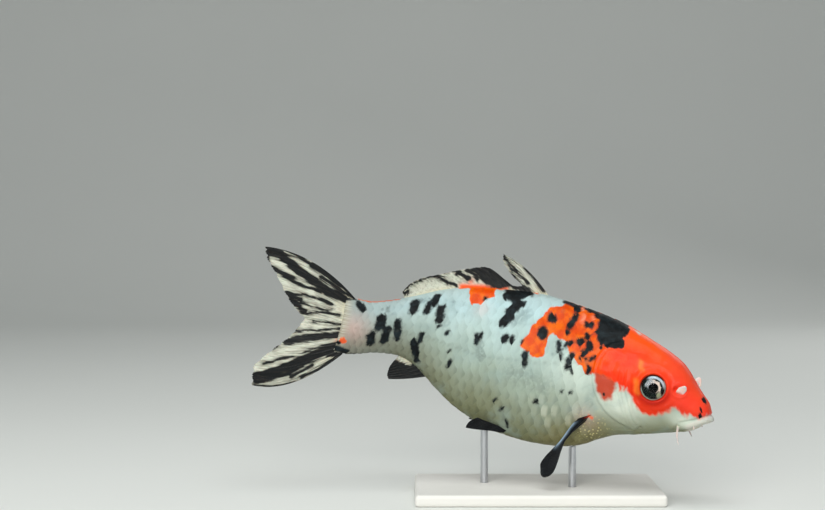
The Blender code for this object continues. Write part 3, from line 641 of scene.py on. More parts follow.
class Paint:
    """A material in the making: its main shader, and the nodes that feed it.

    Colours are given as the eye reads them, 0 to 255."""

    def __init__(self, name, **fixed):
        self.material = bpy.data.materials.new(name)
        self.material.use_nodes = True
        self.tree = self.material.node_tree
        self.shader = self.tree.nodes["Principled BSDF"]
        for socket, value in fixed.items():
            self.feed(socket.replace("_", " "), value)

    def feed(self, socket, value):
        """Sets a socket of the main shader, or links a signal to it."""
        self.join(self.shader.inputs[socket], value)

    def join(self, socket, value):
        if isinstance(value, Signal):
            self.tree.links.new(value.socket, socket)
        elif socket.type == "RGBA":
            socket.default_value = (*to_light(value), 1)
        else:
            socket.default_value = value

    def node(self, kind, settings=None, sockets=None, output=0):
        """Adds one node: its settings first, then the values or links of its sockets."""
        node = self.tree.nodes.new(kind)
        for name, value in (settings or {}).items():
            if name == "stops":
                ramp = node.color_ramp.elements
                while len(ramp) < len(value):
                    ramp.new(1)
                for stop, (place, colour) in zip(ramp, value):
                    stop.position, stop.color = place, (*to_light(colour), 1)
            else:
                setattr(node, name, value)
        for name, value in (sockets or {}).items():
            self.join(node.inputs[name], value)
        return Signal(self, node.outputs[output])

    def stored(self, name, output="Fac"):
        """What the piece keeps at each place under a name: a number, or a Vector."""
        return self.node("ShaderNodeAttribute", dict(attribute_name=name), output=output)

    def place(self):
        return self.node("ShaderNodeTexCoord", output="Object")

    def parts(self, vector):
        """The three numbers of a vector."""
        first = self.node("ShaderNodeSeparateXYZ", None, {0: vector})
        return [Signal(self, socket) for socket in first.socket.node.outputs]

    def stretched(self, vector, scale):
        return self.node("ShaderNodeMapping", None, {"Vector": vector, "Scale": scale})

    def cells(self, scale):
        """Distance from the nearest of scattered points."""
        return self.node("ShaderNodeTexVoronoi", None, {"Vector": self.place(), "Scale": scale},
                         "Distance")

    def bands(self, vector, axis, scale, distortion):
        return self.node("ShaderNodeTexWave", dict(wave_type="BANDS", bands_direction=axis),
                         {"Vector": vector, "Scale": scale, "Distortion": distortion})

    def noise(self, scale, detail=2.0, vector=None):
        sockets = {"Vector": vector or self.place(), "Scale": scale, "Detail": detail}
        return self.node("ShaderNodeTexNoise", None, sockets, "Fac")

    def ease(self, value, low, high):
        sockets = {"Value": value, "From Min": low, "From Max": high}
        return self.node("ShaderNodeMapRange", dict(interpolation_type="SMOOTHSTEP"), sockets)

    def mix(self, share, first, second):
        return self.node("ShaderNodeMix", dict(data_type="RGBA"), {0: share, 6: first, 7: second},
                         output=2)

    def layers(self, colour, *layers):
        """The colour with others laid over it in turn, each as (share, colour)."""
        for share, over in layers:
            colour = self.mix(share, colour, over)
        return colour

    def mottled(self, noise, low, high, first, second):
        """Two colours in patches, by a noise."""
        return self.mix(self.ease(noise, low, high), first, second)

    def bumped(self, height, depth, normal=None):
        sockets = {"Height": height, "Distance": depth}
        if normal:
            sockets["Normal"] = normal
        return self.node("ShaderNodeBump", None, sockets)


# white from the back to the belly: darker low down, partly the belly's own drab and partly painted
# shade
WHITE_DOWN_THE_SIDE = [(0.0, (168, 186, 184)), (0.18, (174, 200, 202)),
                       (0.38, (170, 190, 184)), (0.58, (152, 166, 152)),
                       (0.78, (126, 131, 106)), (1.0, (96, 95, 50))]


def white_of_the_koi(paint, depth, ahead, fine, ragged):
    """Bluish white to drab at the belly, clouded and tinted, with painted highlights, glints and
    shade low down.
    """
    white = paint.node("ShaderNodeValToRGB", dict(stops=WHITE_DOWN_THE_SIDE),
                       {"Fac": depth + (paint.noise(90) - 0.5) * 0.25})
    cloudy = paint.ease(paint.noise(130, 4.0), 0.46, 0.72)
    low_rear = paint.ease(ahead, -0.030, -0.065) * paint.ease(depth, 0.35, 0.70)
    # painted shade on the throat, under the gill covers
    painted_throat_shade = (paint.ease(ahead, -0.004, 0.006) * paint.ease(ahead, 0.026, 0.017)
              * paint.ease(depth, 0.66, 0.86))
    # painted glints: small yellow flecks
    gilt = paint.stored("gilt") * paint.ease(paint.cells(900.0), 0.34, 0.16)
    ray_place = paint.node("ShaderNodeCombineXYZ", None, {"X": depth * 62.0})
    stem = paint.mottled(paint.noise(1.0, 2.0, ray_place), 0.42, 0.60, (150, 144, 124),
                         (204, 201, 184))
    amber = paint.ease(paint.stored("amber") + ragged * 0.5, -0.55, 0.65)
    return paint.layers(white,
                        # painted highlights
                        (paint.stored("shine") * 0.75, (218, 226, 212)),
                        (cloudy * 0.42, (138, 158, 154)),
                        (paint.ease(ahead, -0.018, -0.070) * 0.62, (130, 138, 135)),
                        (low_rear * 0.45, (112, 108, 94)),
                        (painted_throat_shade * 0.6, (118, 108, 62)),
                        (paint.ease(fine, 0.1, 0.5) * 0.2, (146, 160, 152)),
                        (paint.stored("blush") * 0.55, (222, 176, 166)),
                        (gilt * 0.8, (226, 214, 150)),
                        (paint.stored("stem") * 0.8, stem),
                        (paint.stored("lip") * 0.7, (204, 200, 190)),
                        (amber * 0.95, (182, 50, 10)))


def orange_of_the_koi(paint, depth, ahead, warm):
    """Orange on the body and red on the face, with painted shade under the eye, painted sheen
    behind it, paler edges.
    """
    body = paint.mottled(paint.noise(330), 0.35, 0.7, (210, 66, 0), (228, 100, 0))
    face = paint.mottled(paint.noise(150), 0.3, 0.7, (234, 48, 14), (238, 66, 22))
    brow = paint.ease(depth + (paint.noise(60) - 0.5) * 0.3, 0.34, 0.10)
    face = paint.layers(face, (brow * 0.7, (240, 88, 16)),
                        (paint.ease(ahead, 0.036, 0.045) * 0.6, (232, 64, 48)),
                        (paint.ease(depth, 0.40, 0.60) * 0.75, (200, 42, 12)),
                        # painted shade under the eye
                        (paint.stored("socket") * 0.6, (176, 12, 8)))
    return paint.layers(paint.mix(paint.stored("face"), body, face),
                        # painted sheen behind the eye
                        (paint.stored("glow") * 0.45, (252, 150, 50)),
                        (paint.stored("blush") * 0.6, (246, 158, 124)),
                        (paint.ease(warm, 0.35, -0.2) * 0.25, (246, 116, 40)))


def koi_colour(paint):
    """The white, orange and black of the fish, laid over one another; returns it and the ink.

    Ahead is the distance towards the head from the middle of the stand, in metres."""
    broad = (paint.noise(700, 3.0) - 0.5) * 2.0
    fine = (paint.noise(2600) - 0.5) * 2.0
    ragged = broad * 0.5 + fine * 0.25
    depth, face = paint.stored("depth"), paint.stored("face")
    ahead = paint.parts(paint.place())[0]
    warm = paint.stored("warm") + ragged * 0.5
    soft = face * 0.32 + 0.16
    colour = paint.mix(paint.ease(warm, 0 - soft * 1.3, soft),
                       white_of_the_koi(paint, depth, ahead, fine, ragged),
                       orange_of_the_koi(paint, depth, ahead, warm))

    smoke = paint.stored("smoke")
    smoky = smoke * paint.ease(broad + smoke, -0.15, 0.45)
    ink = paint.stored("ink") + ragged * 0.9
    spread = 0.36 - face * 0.18
    inked = paint.ease(ink, -0.24 - spread, spread - 0.24)
    black = paint.mottled(paint.noise(420, 3.0), 0.4, 0.8, (14, 18, 20), (34, 44, 48))
    return paint.layers(colour, (smoky * 0.9, (74, 86, 84)),
                        (paint.ease(ink, -0.9, -0.1) * 0.12, (96, 92, 84)),
                        (inked, black)), inked


def skin_finish():
    """Bare wet skin, with pores."""
    paint = Paint("wet_skin", Specular_IOR_Level=0.08, Coat_Roughness=0.12,
                  Subsurface_Weight=0.06, Subsurface_Scale=0.0011)
    paint.shader.inputs["Subsurface Radius"].default_value = (1.0, 0.45, 0.30)
    colour, inked = koi_colour(paint)
    paint.feed("Base Color", colour)
    paint.feed("Roughness", 0.34 + paint.noise(1800) * 0.14 + inked * 0.12)
    paint.feed("Coat Weight", (0.06 + paint.noise(300, 1.0) * 0.12) * (1 - inked * 0.7))
    pores = paint.cells(2300.0)
    fine = paint.bumped(pores * 0.5 + paint.noise(4200) * 0.5, 0.00006)
    paint.feed("Normal", paint.bumped(paint.noise(420, 3.0), 0.00022, fine))
    return paint.material


skin = make_skin()
skin.data.materials.append(skin_finish())
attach(skin, "root")
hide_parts("head", "lower_jaw", "gill_cover_left", "gill_cover_right", "trunk_front",
            "trunk_rear", "tail_stem")

# ---------------------------------------------------------------- the scales
# Each scale is a thin bony leaf, rooted in a pocket of the skin under the two ahead of it and
# free at its round rear edge. They lie in staggered rows along the body, larger on the shoulder
# than on the tail, and the row along the middle of the side has a pore in each scale.
SCALE_PITCH = [(25, 2.95), (40, 2.9), (55, 2.6), (75, 2.2), (92, 1.8), (104, 1.6)]
SCALE_ROW = [(25, 3.1), (45, 3.25), (60, 3.1), (75, 2.7), (88, 2.1), (104, 1.75)]
SIDE_LINE = [(25, 14.5), (31, 15.8), (40, 19.0), (50, 21.0), (60, 20.7), (71, 17.4), (80, 12.8),
             (90, 8.8), (104, 7.6)]
FACES_ALONG, FACES_ACROSS = 10, 8           # of a scale
SCALE_SINK, SCALE_DOME = 0.130, 0.022       # depth of its root, and how far it is domed
SIDES = dict(right=-1, left=1)


def leaf_ends(across):
    """The pointed root and the round rear edge of a scale, at each place across it."""
    return -0.84 + 0.30 * across ** 2, 0.64 * (1 - abs(across) ** 2.1) - 0.06


def thicken(piece, thickness, offset=-1):
    """Gives a surface a wall; with an offset of -1 it lies under the surface."""
    wall = piece.modifiers.new("Thickness", "SOLIDIFY")
    wall.thickness, wall.offset = thickness, offset
    bpy.ops.object.modifier_apply(modifier=wall.name)


def scale_leaf():
    """One scale, modelled flat: x along the fish and y across, in pitches and rows."""
    bpy.ops.object.select_all(action="DESELECT")
    bpy.ops.mesh.primitive_grid_add(x_subdivisions=FACES_ALONG, y_subdivisions=FACES_ACROSS,
                                    size=2)
    leaf = bpy.context.object
    for vertex in leaf.data.vertices:
        along, across = (vertex.co.x + 1) / 2, vertex.co.y * 0.97
        front, rear = leaf_ends(across)
        dome = SCALE_DOME * (1 - across ** 2) * math.sin(math.pi * min(along ** 1.6, 1))
        vertex.co = (front + (rear - front) * along ** 0.85, across,
                     -SCALE_SINK + SCALE_SINK * along + dome)
    thicken(leaf, 0.04)
    corners = np.array([vertex.co for vertex in leaf.data.vertices])
    faces = [tuple(face.vertices) for face in leaf.data.polygons]
    bpy.data.objects.remove(leaf)
    return corners, faces


LAST_SCALE = 98.3                # the scales end here, on the tail stem


def scale_places(side):
    """Middles (f, g) of a side's scales, and each one's row."""
    pitch = smooth_value(SCALE_PITCH, TABLE_F)
    count = np.concatenate([[0], np.cumsum(TABLE_STEP / pitch[1:])])
    places = []
    for row in range(-9, 10):
        for number in range(int(count[-1]) + 1):
            f = np.interp(number + 0.5 * (row % 2), count, TABLE_F)
            g = smooth_value(SIDE_LINE, f) + row * smooth_value(SCALE_ROW, f)
            whole = np.interp(f, TABLE_F, HALF_GIRTH)
            clear = 0.05 if side > 0 else 0.0          # the left side leaves the midlines free
            if clear < g < whole - clear and scale_edge(g) + 0.9 < f < LAST_SCALE:
                places.append((f, g, row))
    return np.array(places)


def make_scales(name, side, leaf, faces):
    """A side's coat of scales, each a little uneven in size, tilt and lift."""
    places = scale_places(side)
    chance = np.random.default_rng(7 + side)
    f0, g0, row = (column[:, None] for column in places.T)
    pitch, height = smooth_value(SCALE_PITCH, f0), smooth_value(SCALE_ROW, f0)
    grown = chance.normal(1, 0.035, f0.shape)
    tilt = chance.normal(0, 0.045, f0.shape)
    x, y, z = leaf.T
    f = f0 + pitch * (x * grown + tilt * y) + chance.normal(0, 0.04, f0.shape)
    g = g0 + height * (y * grown - tilt * x * 0.5)
    points, normals = body_at(np.clip(f, 0, 101.4), g, side)
    raised = z + chance.normal(0, 0.012, f0.shape)
    raised += 0.02 if side > 0 else 0                  # where the coats meet, the left lies over
    points = points + normals * raised[..., None]
    hollow_stem_end(points, f)
    outward = [face if side < 0 else face[::-1] for face in faces]
    all_faces = [tuple(v + n * len(leaf) for v in face) for n in range(len(places))
                 for face in outward]
    mesh = bpy.data.meshes.new(name)
    mesh.from_pydata(bend(points).reshape(-1, 3), [], all_faces)
    scales = bpy.data.objects.new(name, mesh)
    bpy.context.scene.collection.objects.link(scales)

    # a scale is coloured as the hide under each place of it, and a little as under its middle
    seen_f, seen_g = 0.84 * f + 0.16 * (f0 + 0.1 * pitch), 0.84 * g + 0.16 * g0
    crossing = np.where(seen_g < 0, -1.0, 1.0)
    front, rear = leaf_ends(y)
    along = (x - front) / (rear - front)
    own = chance.random(f0.shape)
    fields = pattern(seen_f, np.abs(seen_g), side * crossing)
    fields["pore"] = (row == 0) * bump(y, 0.16) * bump(along - 0.72, 0.16)
    # painted glints on the breast scales, where they are domed
    fields["pearl"] = np.broadcast_to(spot(f0, g0, (37, 31.5), (7, 3.5)), f.shape)
    for field, values in fields.items():
        store(scales, field, values.ravel())
    local = np.stack(np.broadcast_arrays(along, y, own), axis=-1)
    store(scales, "leaf", local.reshape(-1, 3))
    lay_bake_map(scales, f0 + (along - 0.5) * 0.9 * pitch, g0 + 0.46 * y * height)
    select_only(scales)
    bpy.ops.object.shade_smooth_by_angle(angle=math.radians(50))
    return scales


def lay_bake_map(scales, f, g):
    """The OFBake map: every scale has its own brick of the body's unrolled side."""
    u = np.clip((f - 24) / 80, 0, 1).ravel()        # f from 24 to 104, and g from -1 to 45
    v = np.clip((g + 1) / 46, 0, 1).ravel()
    corner = np.empty(len(scales.data.loops), int)
    scales.data.loops.foreach_get("vertex_index", corner)
    layer = scales.data.uv_layers.new(name="OFBake")
    layer.data.foreach_set("uv", np.stack([u[corner], v[corner]], axis=-1).ravel())


def scale_finish():
    """Hide colours through a ringed scale, with painted shade at its root, and a painted edge
    highlight and breast glints.
    """
    paint = Paint("koi_scales", Specular_IOR_Level=0.08, Coat_Roughness=0.14,
                  Subsurface_Weight=0.05, Subsurface_Scale=0.0008)
    paint.shader.inputs["Subsurface Radius"].default_value = (1.0, 0.5, 0.35)
    colour, inked = koi_colour(paint)
    along, across, own = paint.parts(paint.stored("leaf", "Vector"))
    # painted shade on each scale's sunk root, deeper low on the body, and a faint painted highlight
    # on its rear edge
    painted_edge_highlight, root = paint.ease(along, 0.86, 1.0), paint.ease(along, 0.72, 0.42)
    low = paint.ease(paint.stored("depth"), 0.5, 0.8)
    bright = 1.02 - root * (low * 0.10 + 0.09) + painted_edge_highlight * 0.04 + (own - 0.5) * 0.08
    colour = paint.node("ShaderNodeHueSaturation", None, {"Value": bright, "Color": colour})
    dome = paint.ease(along, 0.45, 0.7) * paint.ease(across * across, 0.35, 0.0)
    # painted glints on the domed middles of the breast scales
    pearl = paint.stored("pearl") * dome * (own + 0.1)
    paint.feed("Base Color", paint.layers(colour, (pearl * 0.5, (226, 226, 206)),
                                          (paint.stored("pore") * 0.25, (84, 86, 78))))
    paint.feed("Roughness", 0.32 + paint.noise(1500) * 0.16 + inked * 0.12)
    paint.feed("Coat Weight", (0.04 + own * 0.08) * (1 - inked * 0.7))
    rings = paint.bands(paint.stored("leaf", "Vector"), "X", 5.0, 1.5)
    fine = paint.bumped(rings, 0.00002)
    paint.feed("Normal", paint.bumped(paint.noise(900, 3.0), 0.00008, fine))
    return paint.material


leaf_corners, leaf_faces = scale_leaf()
scales_finish = scale_finish()
for side_word, side in SIDES.items():
    scales = make_scales("scales_" + side_word, side, leaf_corners, leaf_faces)
    scales.data.materials.append(scales_finish)
    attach(scales, "root")

# ---------------------------------------------------------------- the eyes
# A koi's eye is a ball with a flat front, set in a rim of skin: a black pupil, a dark iris with a
# broken pale ring round the pupil, a thin pale border, and a clear wet window over it all.
EYE_SINK, EYE_DEPTH = 1.65, 3.0
EYE_WIDE = EYE_RADIUS * 1.05     # the ball's radius, under the rim
PUPIL, RING, BORDER = 1.2, 1.85, 2.95


def eye_profile(radius):
    """Height of the ball's front over the eye's plane at each distance from its axis."""
    return EYE_DEPTH * np.sqrt(np.clip(1 - (radius / EYE_WIDE) ** 3.2, 0, 1)) - EYE_SINK


def eye_points(side, radius, turn, height):
    """Places on the straight fish, given round the eye's own axis."""
    centre, axis, ahead, above = eye_axes(side)
    return (centre + (radius * np.cos(turn))[..., None] * ahead
            + (radius * np.sin(turn))[..., None] * above + height[..., None] * axis)


def make_eye_ball(name, side):
    """A ball with a flat front, an opened pupil behind a low lens, and a groove at the border."""
    bpy.ops.object.select_all(action="DESELECT")
    bpy.ops.mesh.primitive_uv_sphere_add(segments=128, ring_count=96, radius=1)
    ball = bpy.context.object
    ball.name = ball.data.name = name
    corners = np.array([vertex.co for vertex in ball.data.vertices])
    tilt = np.arccos(np.clip(corners[:, 2], -1, 1))          # 0 at the front, pi at the back
    turn = np.arctan2(corners[:, 1], corners[:, 0])
    front = tilt <= math.pi / 2
    share = np.where(front, tilt, math.pi - tilt) / (math.pi / 2)
    radius = share * EYE_WIDE
    height = eye_profile(radius)
    sunk = 0.34 * ease(radius, PUPIL - 0.1, PUPIL + 0.15) * ease(radius, 3.15, 2.75)
    lens = 0.12 * bump(radius, 0.9)
    groove = 0.10 * bump(radius - 3.12, 0.12)
    height = np.where(front, height - 0.16 * ease(radius, 3.2, 2.9) - sunk + lens - groove,
                      -EYE_SINK - 1.2 * (1 - share ** 2))
    ball.data.vertices.foreach_set("co", bend(eye_points(side, radius, turn, height)).ravel())
    store(ball, "iris", np.stack([radius * np.cos(turn), radius * np.sin(turn),
                                  np.where(front, radius, 9)], axis=-1))
    close_up(ball)
    return ball


def make_eye_window(name, side):
    """The clear front of the eye: a thin dome that meets the ball at its border."""
    radius = np.linspace(0, 3.2, 28)[:, None]
    turn = np.linspace(0, 2 * math.pi, 97)[None, :]
    height = eye_profile(radius) + 0.05 + 0 * turn
    dome = laid_grid(name, bend(eye_points(side, radius, turn, height)))[0]
    close_up(dome)
    thicken(dome, 0.00006)
    return dome


def eye_ball_finish():
    """The iris in broken rings round the pupil: dark, pale ring, painted sky reflection, border,
    painted shade at the rim.
    """
    paint = Paint("iris", Roughness=0.35, Specular_IOR_Level=0.05)
    iris = paint.stored("iris", "Vector")
    ahead, up, radius = paint.parts(iris)
    streaks, flecks = paint.noise(1.6, 3.0, iris), paint.noise(5.0, 3.0, iris)
    dark = paint.mix(flecks, (6, 12, 12), (24, 36, 34))
    rearward = paint.ease(ahead, 0.6, -1.4)
    width = RING + rearward * 0.45 + (streaks - 0.5) * 1.1
    ring = paint.ease(radius + (flecks - 0.5) * 0.5, PUPIL - 0.05, PUPIL + 0.1)
    ring = ring * paint.ease(radius - width, 0.16, -0.12)
    ring = ring * paint.ease(up + ahead * 0.25 + (streaks - 0.5) * 2.0, -0.9, -0.1)
    pale = paint.mottled(flecks + (rearward - 0.5) * 0.25, 0.35, 0.65, (232, 212, 198),
                         (136, 148, 156))
    # painted reflection of the overhead light: a pale blue arc over the top of the iris
    painted_sky_reflection = paint.ease(radius, 2.2, 2.45) * paint.ease(radius, 3.0, 2.85)
    painted_sky_reflection = painted_sky_reflection * paint.ease(up + ahead * 0.35, 0.7, 2.3)
    away = paint.node("ShaderNodeCombineXYZ", None,
                      {"X": ahead - 1.75, "Y": (up + 1.6) * 0.75})
    away = paint.node("ShaderNodeVectorMath", dict(operation="LENGTH"), {0: away}, "Value")
    low_fleck = paint.ease(away + (flecks - 0.5) * 0.6, 0.75, 0.40)
    border = paint.ease(radius + (flecks - 0.5) * 0.16, BORDER - 0.10, BORDER + 0.02)
    border = border * paint.ease(radius, BORDER + 0.28, BORDER + 0.16)
    border = border * paint.ease(up - ahead * 0.6, 2.0, 0.4)
    lid_shadow = paint.ease(radius, 2.82, 3.0) * paint.ease(up - ahead * 0.4, 0.9, 2.2)
    # painted shade where the ball tucks under the skin round the eye
    rim = paint.ease(radius, BORDER + 0.16, BORDER + 0.26)
    pupil = paint.ease(radius, PUPIL + 0.06, PUPIL - 0.04)
    paint.feed("Base Color", paint.layers(dark, (ring, pale),
                                          (painted_sky_reflection * 0.85, (204, 224, 236)),
                                          (low_fleck * 0.75, (176, 184, 150)),
                                          (border * 0.75, (184, 204, 190)),
                                          (lid_shadow, (12, 12, 13)),
                                          (rim, (26, 20, 22)), (pupil, (3, 4, 6))))
    paint.feed("Normal", paint.bumped(flecks, 0.000012))
    return paint.material


def eye_window_finish():
    return Paint("clear_window", Base_Color=(255, 255, 255), Roughness=0.0, Transmission_Weight=1.0,
                 IOR=1.14).material


ball_finish, window_finish = eye_ball_finish(), eye_window_finish()
for side_word, side in SIDES.items():
    ball = make_eye_ball("eye_ball_" + side_word, side)
    window = make_eye_window("eye_window_" + side_word, side)
    ball.data.materials.append(ball_finish)
    window.data.materials.append(window_finish)
    for piece in (ball, window):
        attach(piece, "root")
    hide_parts("eye_" + side_word)

# ---------------------------------------------------------------- nostril flaps and barbels
# A leaf of pale skin stands between the two openings of each nostril, and two pairs of feelers
# hang from the edge of the mouth, the rear pair longer. They grow out of the skin.
FLAPS = dict(right=dict(root=(8.0, 0.27), reach=(-1.7, 1.0, 2.7), size=0.86),
             left=dict(root=(6.4, 0.60), reach=(-0.2, 1.4, 2.5), size=1.1))
BARBELS = dict(
    long_right=dict(root=(6.6, -0.66), reach=(-1.4, 0.8, -4.8), radius=0.24, lift=-0.1),
    long_left=dict(root=(6.2, -0.66), reach=(-2.0, -0.4, -3.0), radius=0.24, lift=-0.1),
    short_right=dict(root=(2.2, -0.62), reach=(0.2, 0.7, -1.4), radius=0.19, lift=0.2),
    short_left=dict(root=(2.2, -0.62), reach=(0.1, 0.5, -1.3), radius=0.19, lift=0.2))


def on_flank(f, height_share, side, lift):
    """A place on the side of the head: the share is -1 at the belly line, 1 at the back line."""
    l, h = half_ring(f, np.array([math.asin(height_share)]))
    return np.array([f, side * (l[0] + lift), h[0]])


def make_flap(name, side, root, reach, size):
    """A rounded leaf that stands on the snout, cupped towards its tip."""
    root = on_flank(*root, side, -0.1)
    reach = np.array(reach) * (1, side, 1) * size
    spread = np.array([1.0, side * 0.5, 0.3]) * size
    across = np.linspace(-1, 1, 25)[:, None, None]
    up = np.linspace(-0.12, 1, 30)[None, :, None]
    top = np.sqrt(1 - 0.75 * across ** 2)
    cupped = 0.28 * (across ** 2) * up * np.array([0.3, -side, 0.2])
    narrow = 1 - 0.15 * ease(up, 0.25, 0.0)
    points = root + across * spread * narrow + up * top * reach + cupped
    flap, at = laid_grid(name, bend(points))
    store(flap, "reach", (up[..., 0] + 0 * across[..., 0])[at])
    thicken(flap, 0.0004, offset=0)
    smooth = flap.modifiers.new("Soft edge", "SUBSURF")
    smooth.levels = smooth.render_levels = 1
    bpy.ops.object.modifier_apply(modifier=smooth.name)
    close_up(flap)
    return flap


def make_barbel(name, side, root, reach, radius, lift):
    """A tapering feeler, thick where it grows out of the lip, with a slight curl."""
    start = on_flank(*root, side, lift)
    t = np.linspace(0, 1, 60)[:, None]
    curl = np.array([0.35, 0, 0]) * np.sin(t * 4.2) + np.array([0.5, 0, 0]) * t * t
    middle = start + t * np.array(reach) * (1, side, 1) + curl
    thick = radius * (1.25 - 0.55 * t + 1.0 * np.exp(-t * 14)) * np.sqrt(1 - t ** 8)
    turn = np.linspace(0, 2 * math.pi, 25)[None, :]
    ring = np.stack([np.cos(turn), np.sin(turn), 0 * turn], axis=-1)
    tube, at = laid_grid(name, bend(middle[:, None, :] + thick[:, :, None] * ring))
    store(tube, "reach", (t + 0 * turn)[at])
    close_up(tube, fill=True)
    return tube


def soft_skin_finish(name, pale, tinted, root):
    """Thin translucent skin, mottled, and of the head's colour at its root."""
    paint = Paint(name, Roughness=0.34, Coat_Weight=0.4, Subsurface_Weight=0.35,
                  Subsurface_Scale=0.0012)
    colour = paint.mottled(paint.noise(900, 3.0), 0.35, 0.65, pale, tinted)
    at_root = paint.ease(paint.stored("reach"), 0.32, -0.05)
    paint.feed("Base Color", paint.mix(at_root, colour, root))
    paint.feed("Normal", paint.bumped(paint.noise(2500), 0.00005))
    return paint.material


flap_finish = soft_skin_finish("flap_skin", (226, 200, 190), (212, 208, 200),
                               (226, 84, 44))
barbel_finish = soft_skin_finish("barbel_skin", (206, 190, 184), (188, 178, 172),
                                 (196, 196, 180))
for side_word, spec in FLAPS.items():
    flap = make_flap("flap_" + side_word, SIDES[side_word], **spec)
    flap.data.materials.append(flap_finish)
    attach(flap, "root")
    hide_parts("nostril_flap_" + side_word)
for word, spec in BARBELS.items():
    barbel = make_barbel("feeler_" + word, SIDES[word.split("_")[1]], **spec)
    barbel.data.materials.append(barbel_finish)
    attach(barbel, "root")
    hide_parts("barbel_" + word)

# ---------------------------------------------------------------- dorsal, anal and tail fins
# A fin is a thin web of skin stretched over jointed bony rays, which branch towards the edge.
# The rays stand out as ridges on both faces, and the ink runs along them in streaks.
DORSAL_RAYS = [(48.6, 63.4, 27.9, 1.5), (50.2, 63.2, 26.4, 1.2), (51.8, 60.3, 23.2, 0.8),
               (53.6, 56.6, 20.9, 0.2), (56.5, 58.8, 20.3, 0.1), (58, 62.5, 21.8, 0.3),
               (59, 66.9, 23.5, 0.6), (64, 71.3, 22.2, 0.6), (69, 75.4, 20.5, 0.5),
               (74, 79.2, 18.7, 0.4), (79, 83, 17.0, 0.4), (83, 86.0, 14.6, 0.3),
               (86.3, 87.4, 12.1, 0.1)]
ANAL_RAYS = [(75.8, 85.7, -11.6, -0.3), (78.5, 86.3, -10.4, -0.3), (81.5, 86.2, -8.6, -0.2),
             (84.2, 85.4, -6.6, 0)]
TAIL_RAYS = [(7.6, 125.8, 15.9, 2.9), (6.2, 124.6, 13.2, 1.9), (4.7, 121.2, 9.3, 1.0),
             (3.1, 117.2, 4.4, 0.4), (1.6, 113.8, 1.2, 0.1), (0.2, 111.2, -0.3, 0),
             (-0.1, 111.2, -0.6, 0), (-1.5, 112.3, -3.2, -0.1), (-3.1, 114.6, -6.8, -0.5),
             (-4.7, 117.8, -10.4, -1.2), (-6.2, 121.6, -16.0, -2.3), (-7.6, 121.0, -20.6, -3.6)]
# Ink on the fins: (half width, places (f, h) along the streak)
DORSAL_INK = [
    (0.4, (63.2, 27.6)), (0.28, (63.2, 27.6), (61.7, 26.0), (60.0, 24.4)),
    (0.6, (60.2, 22.9), (58.7, 21.8), (56.7, 20.5), (54.6, 19.9)),
    (0.3, (62.2, 27.9), (59.3, 27.2), (57.0, 26.3)),
    (0.75, (56.6, 26.0), (54.6, 24.7), (52.2, 22.8), (50.6, 21.3)),
    (0.36, (62.6, 26.8), (59.7, 24.8), (57.6, 23.2), (55.3, 22.0)),
    (0.35, (81.5, 18.0), (79.5, 18.3), (77.8, 18.0), (76.0, 17.1)),
    (0.2, (80.3, 18.8), (78.1, 19.7), (77.0, 20.1)), (0.3, (75.5, 17.2), (73.7, 17.1)),
    (0.5, (74.1, 20.2), (72.7, 20.0), (70.9, 19.4)), (0.25, (75.3, 20.7), (73.6, 20.7)),
    (0.45, (71.9, 21.6), (70.2, 21.1), (68.6, 20.1)),
    (0.35, (70.8, 22.3), (68.2, 21.4), (66.6, 20.1)),
    (1.0, (69.5, 22.3), (67.5, 21.2), (65.2, 20.1)),
    (1.2, (67.2, 22.9), (65.0, 22.3), (63.1, 21.6), (61.2, 20.7)),
    (0.9, (67.4, 20.9), (65.1, 19.8), (62.0, 19.9)),
    (0.7, (61.3, 21.0), (59.1, 20.5), (56.9, 20.0), (54.0, 19.4)),
    (0.45, (86.6, 12.0), (86.1, 12.5)),
    (0.14, (87.0, 12.6), (85.8, 14.4), (82.8, 16.8), (79.2, 18.6))]
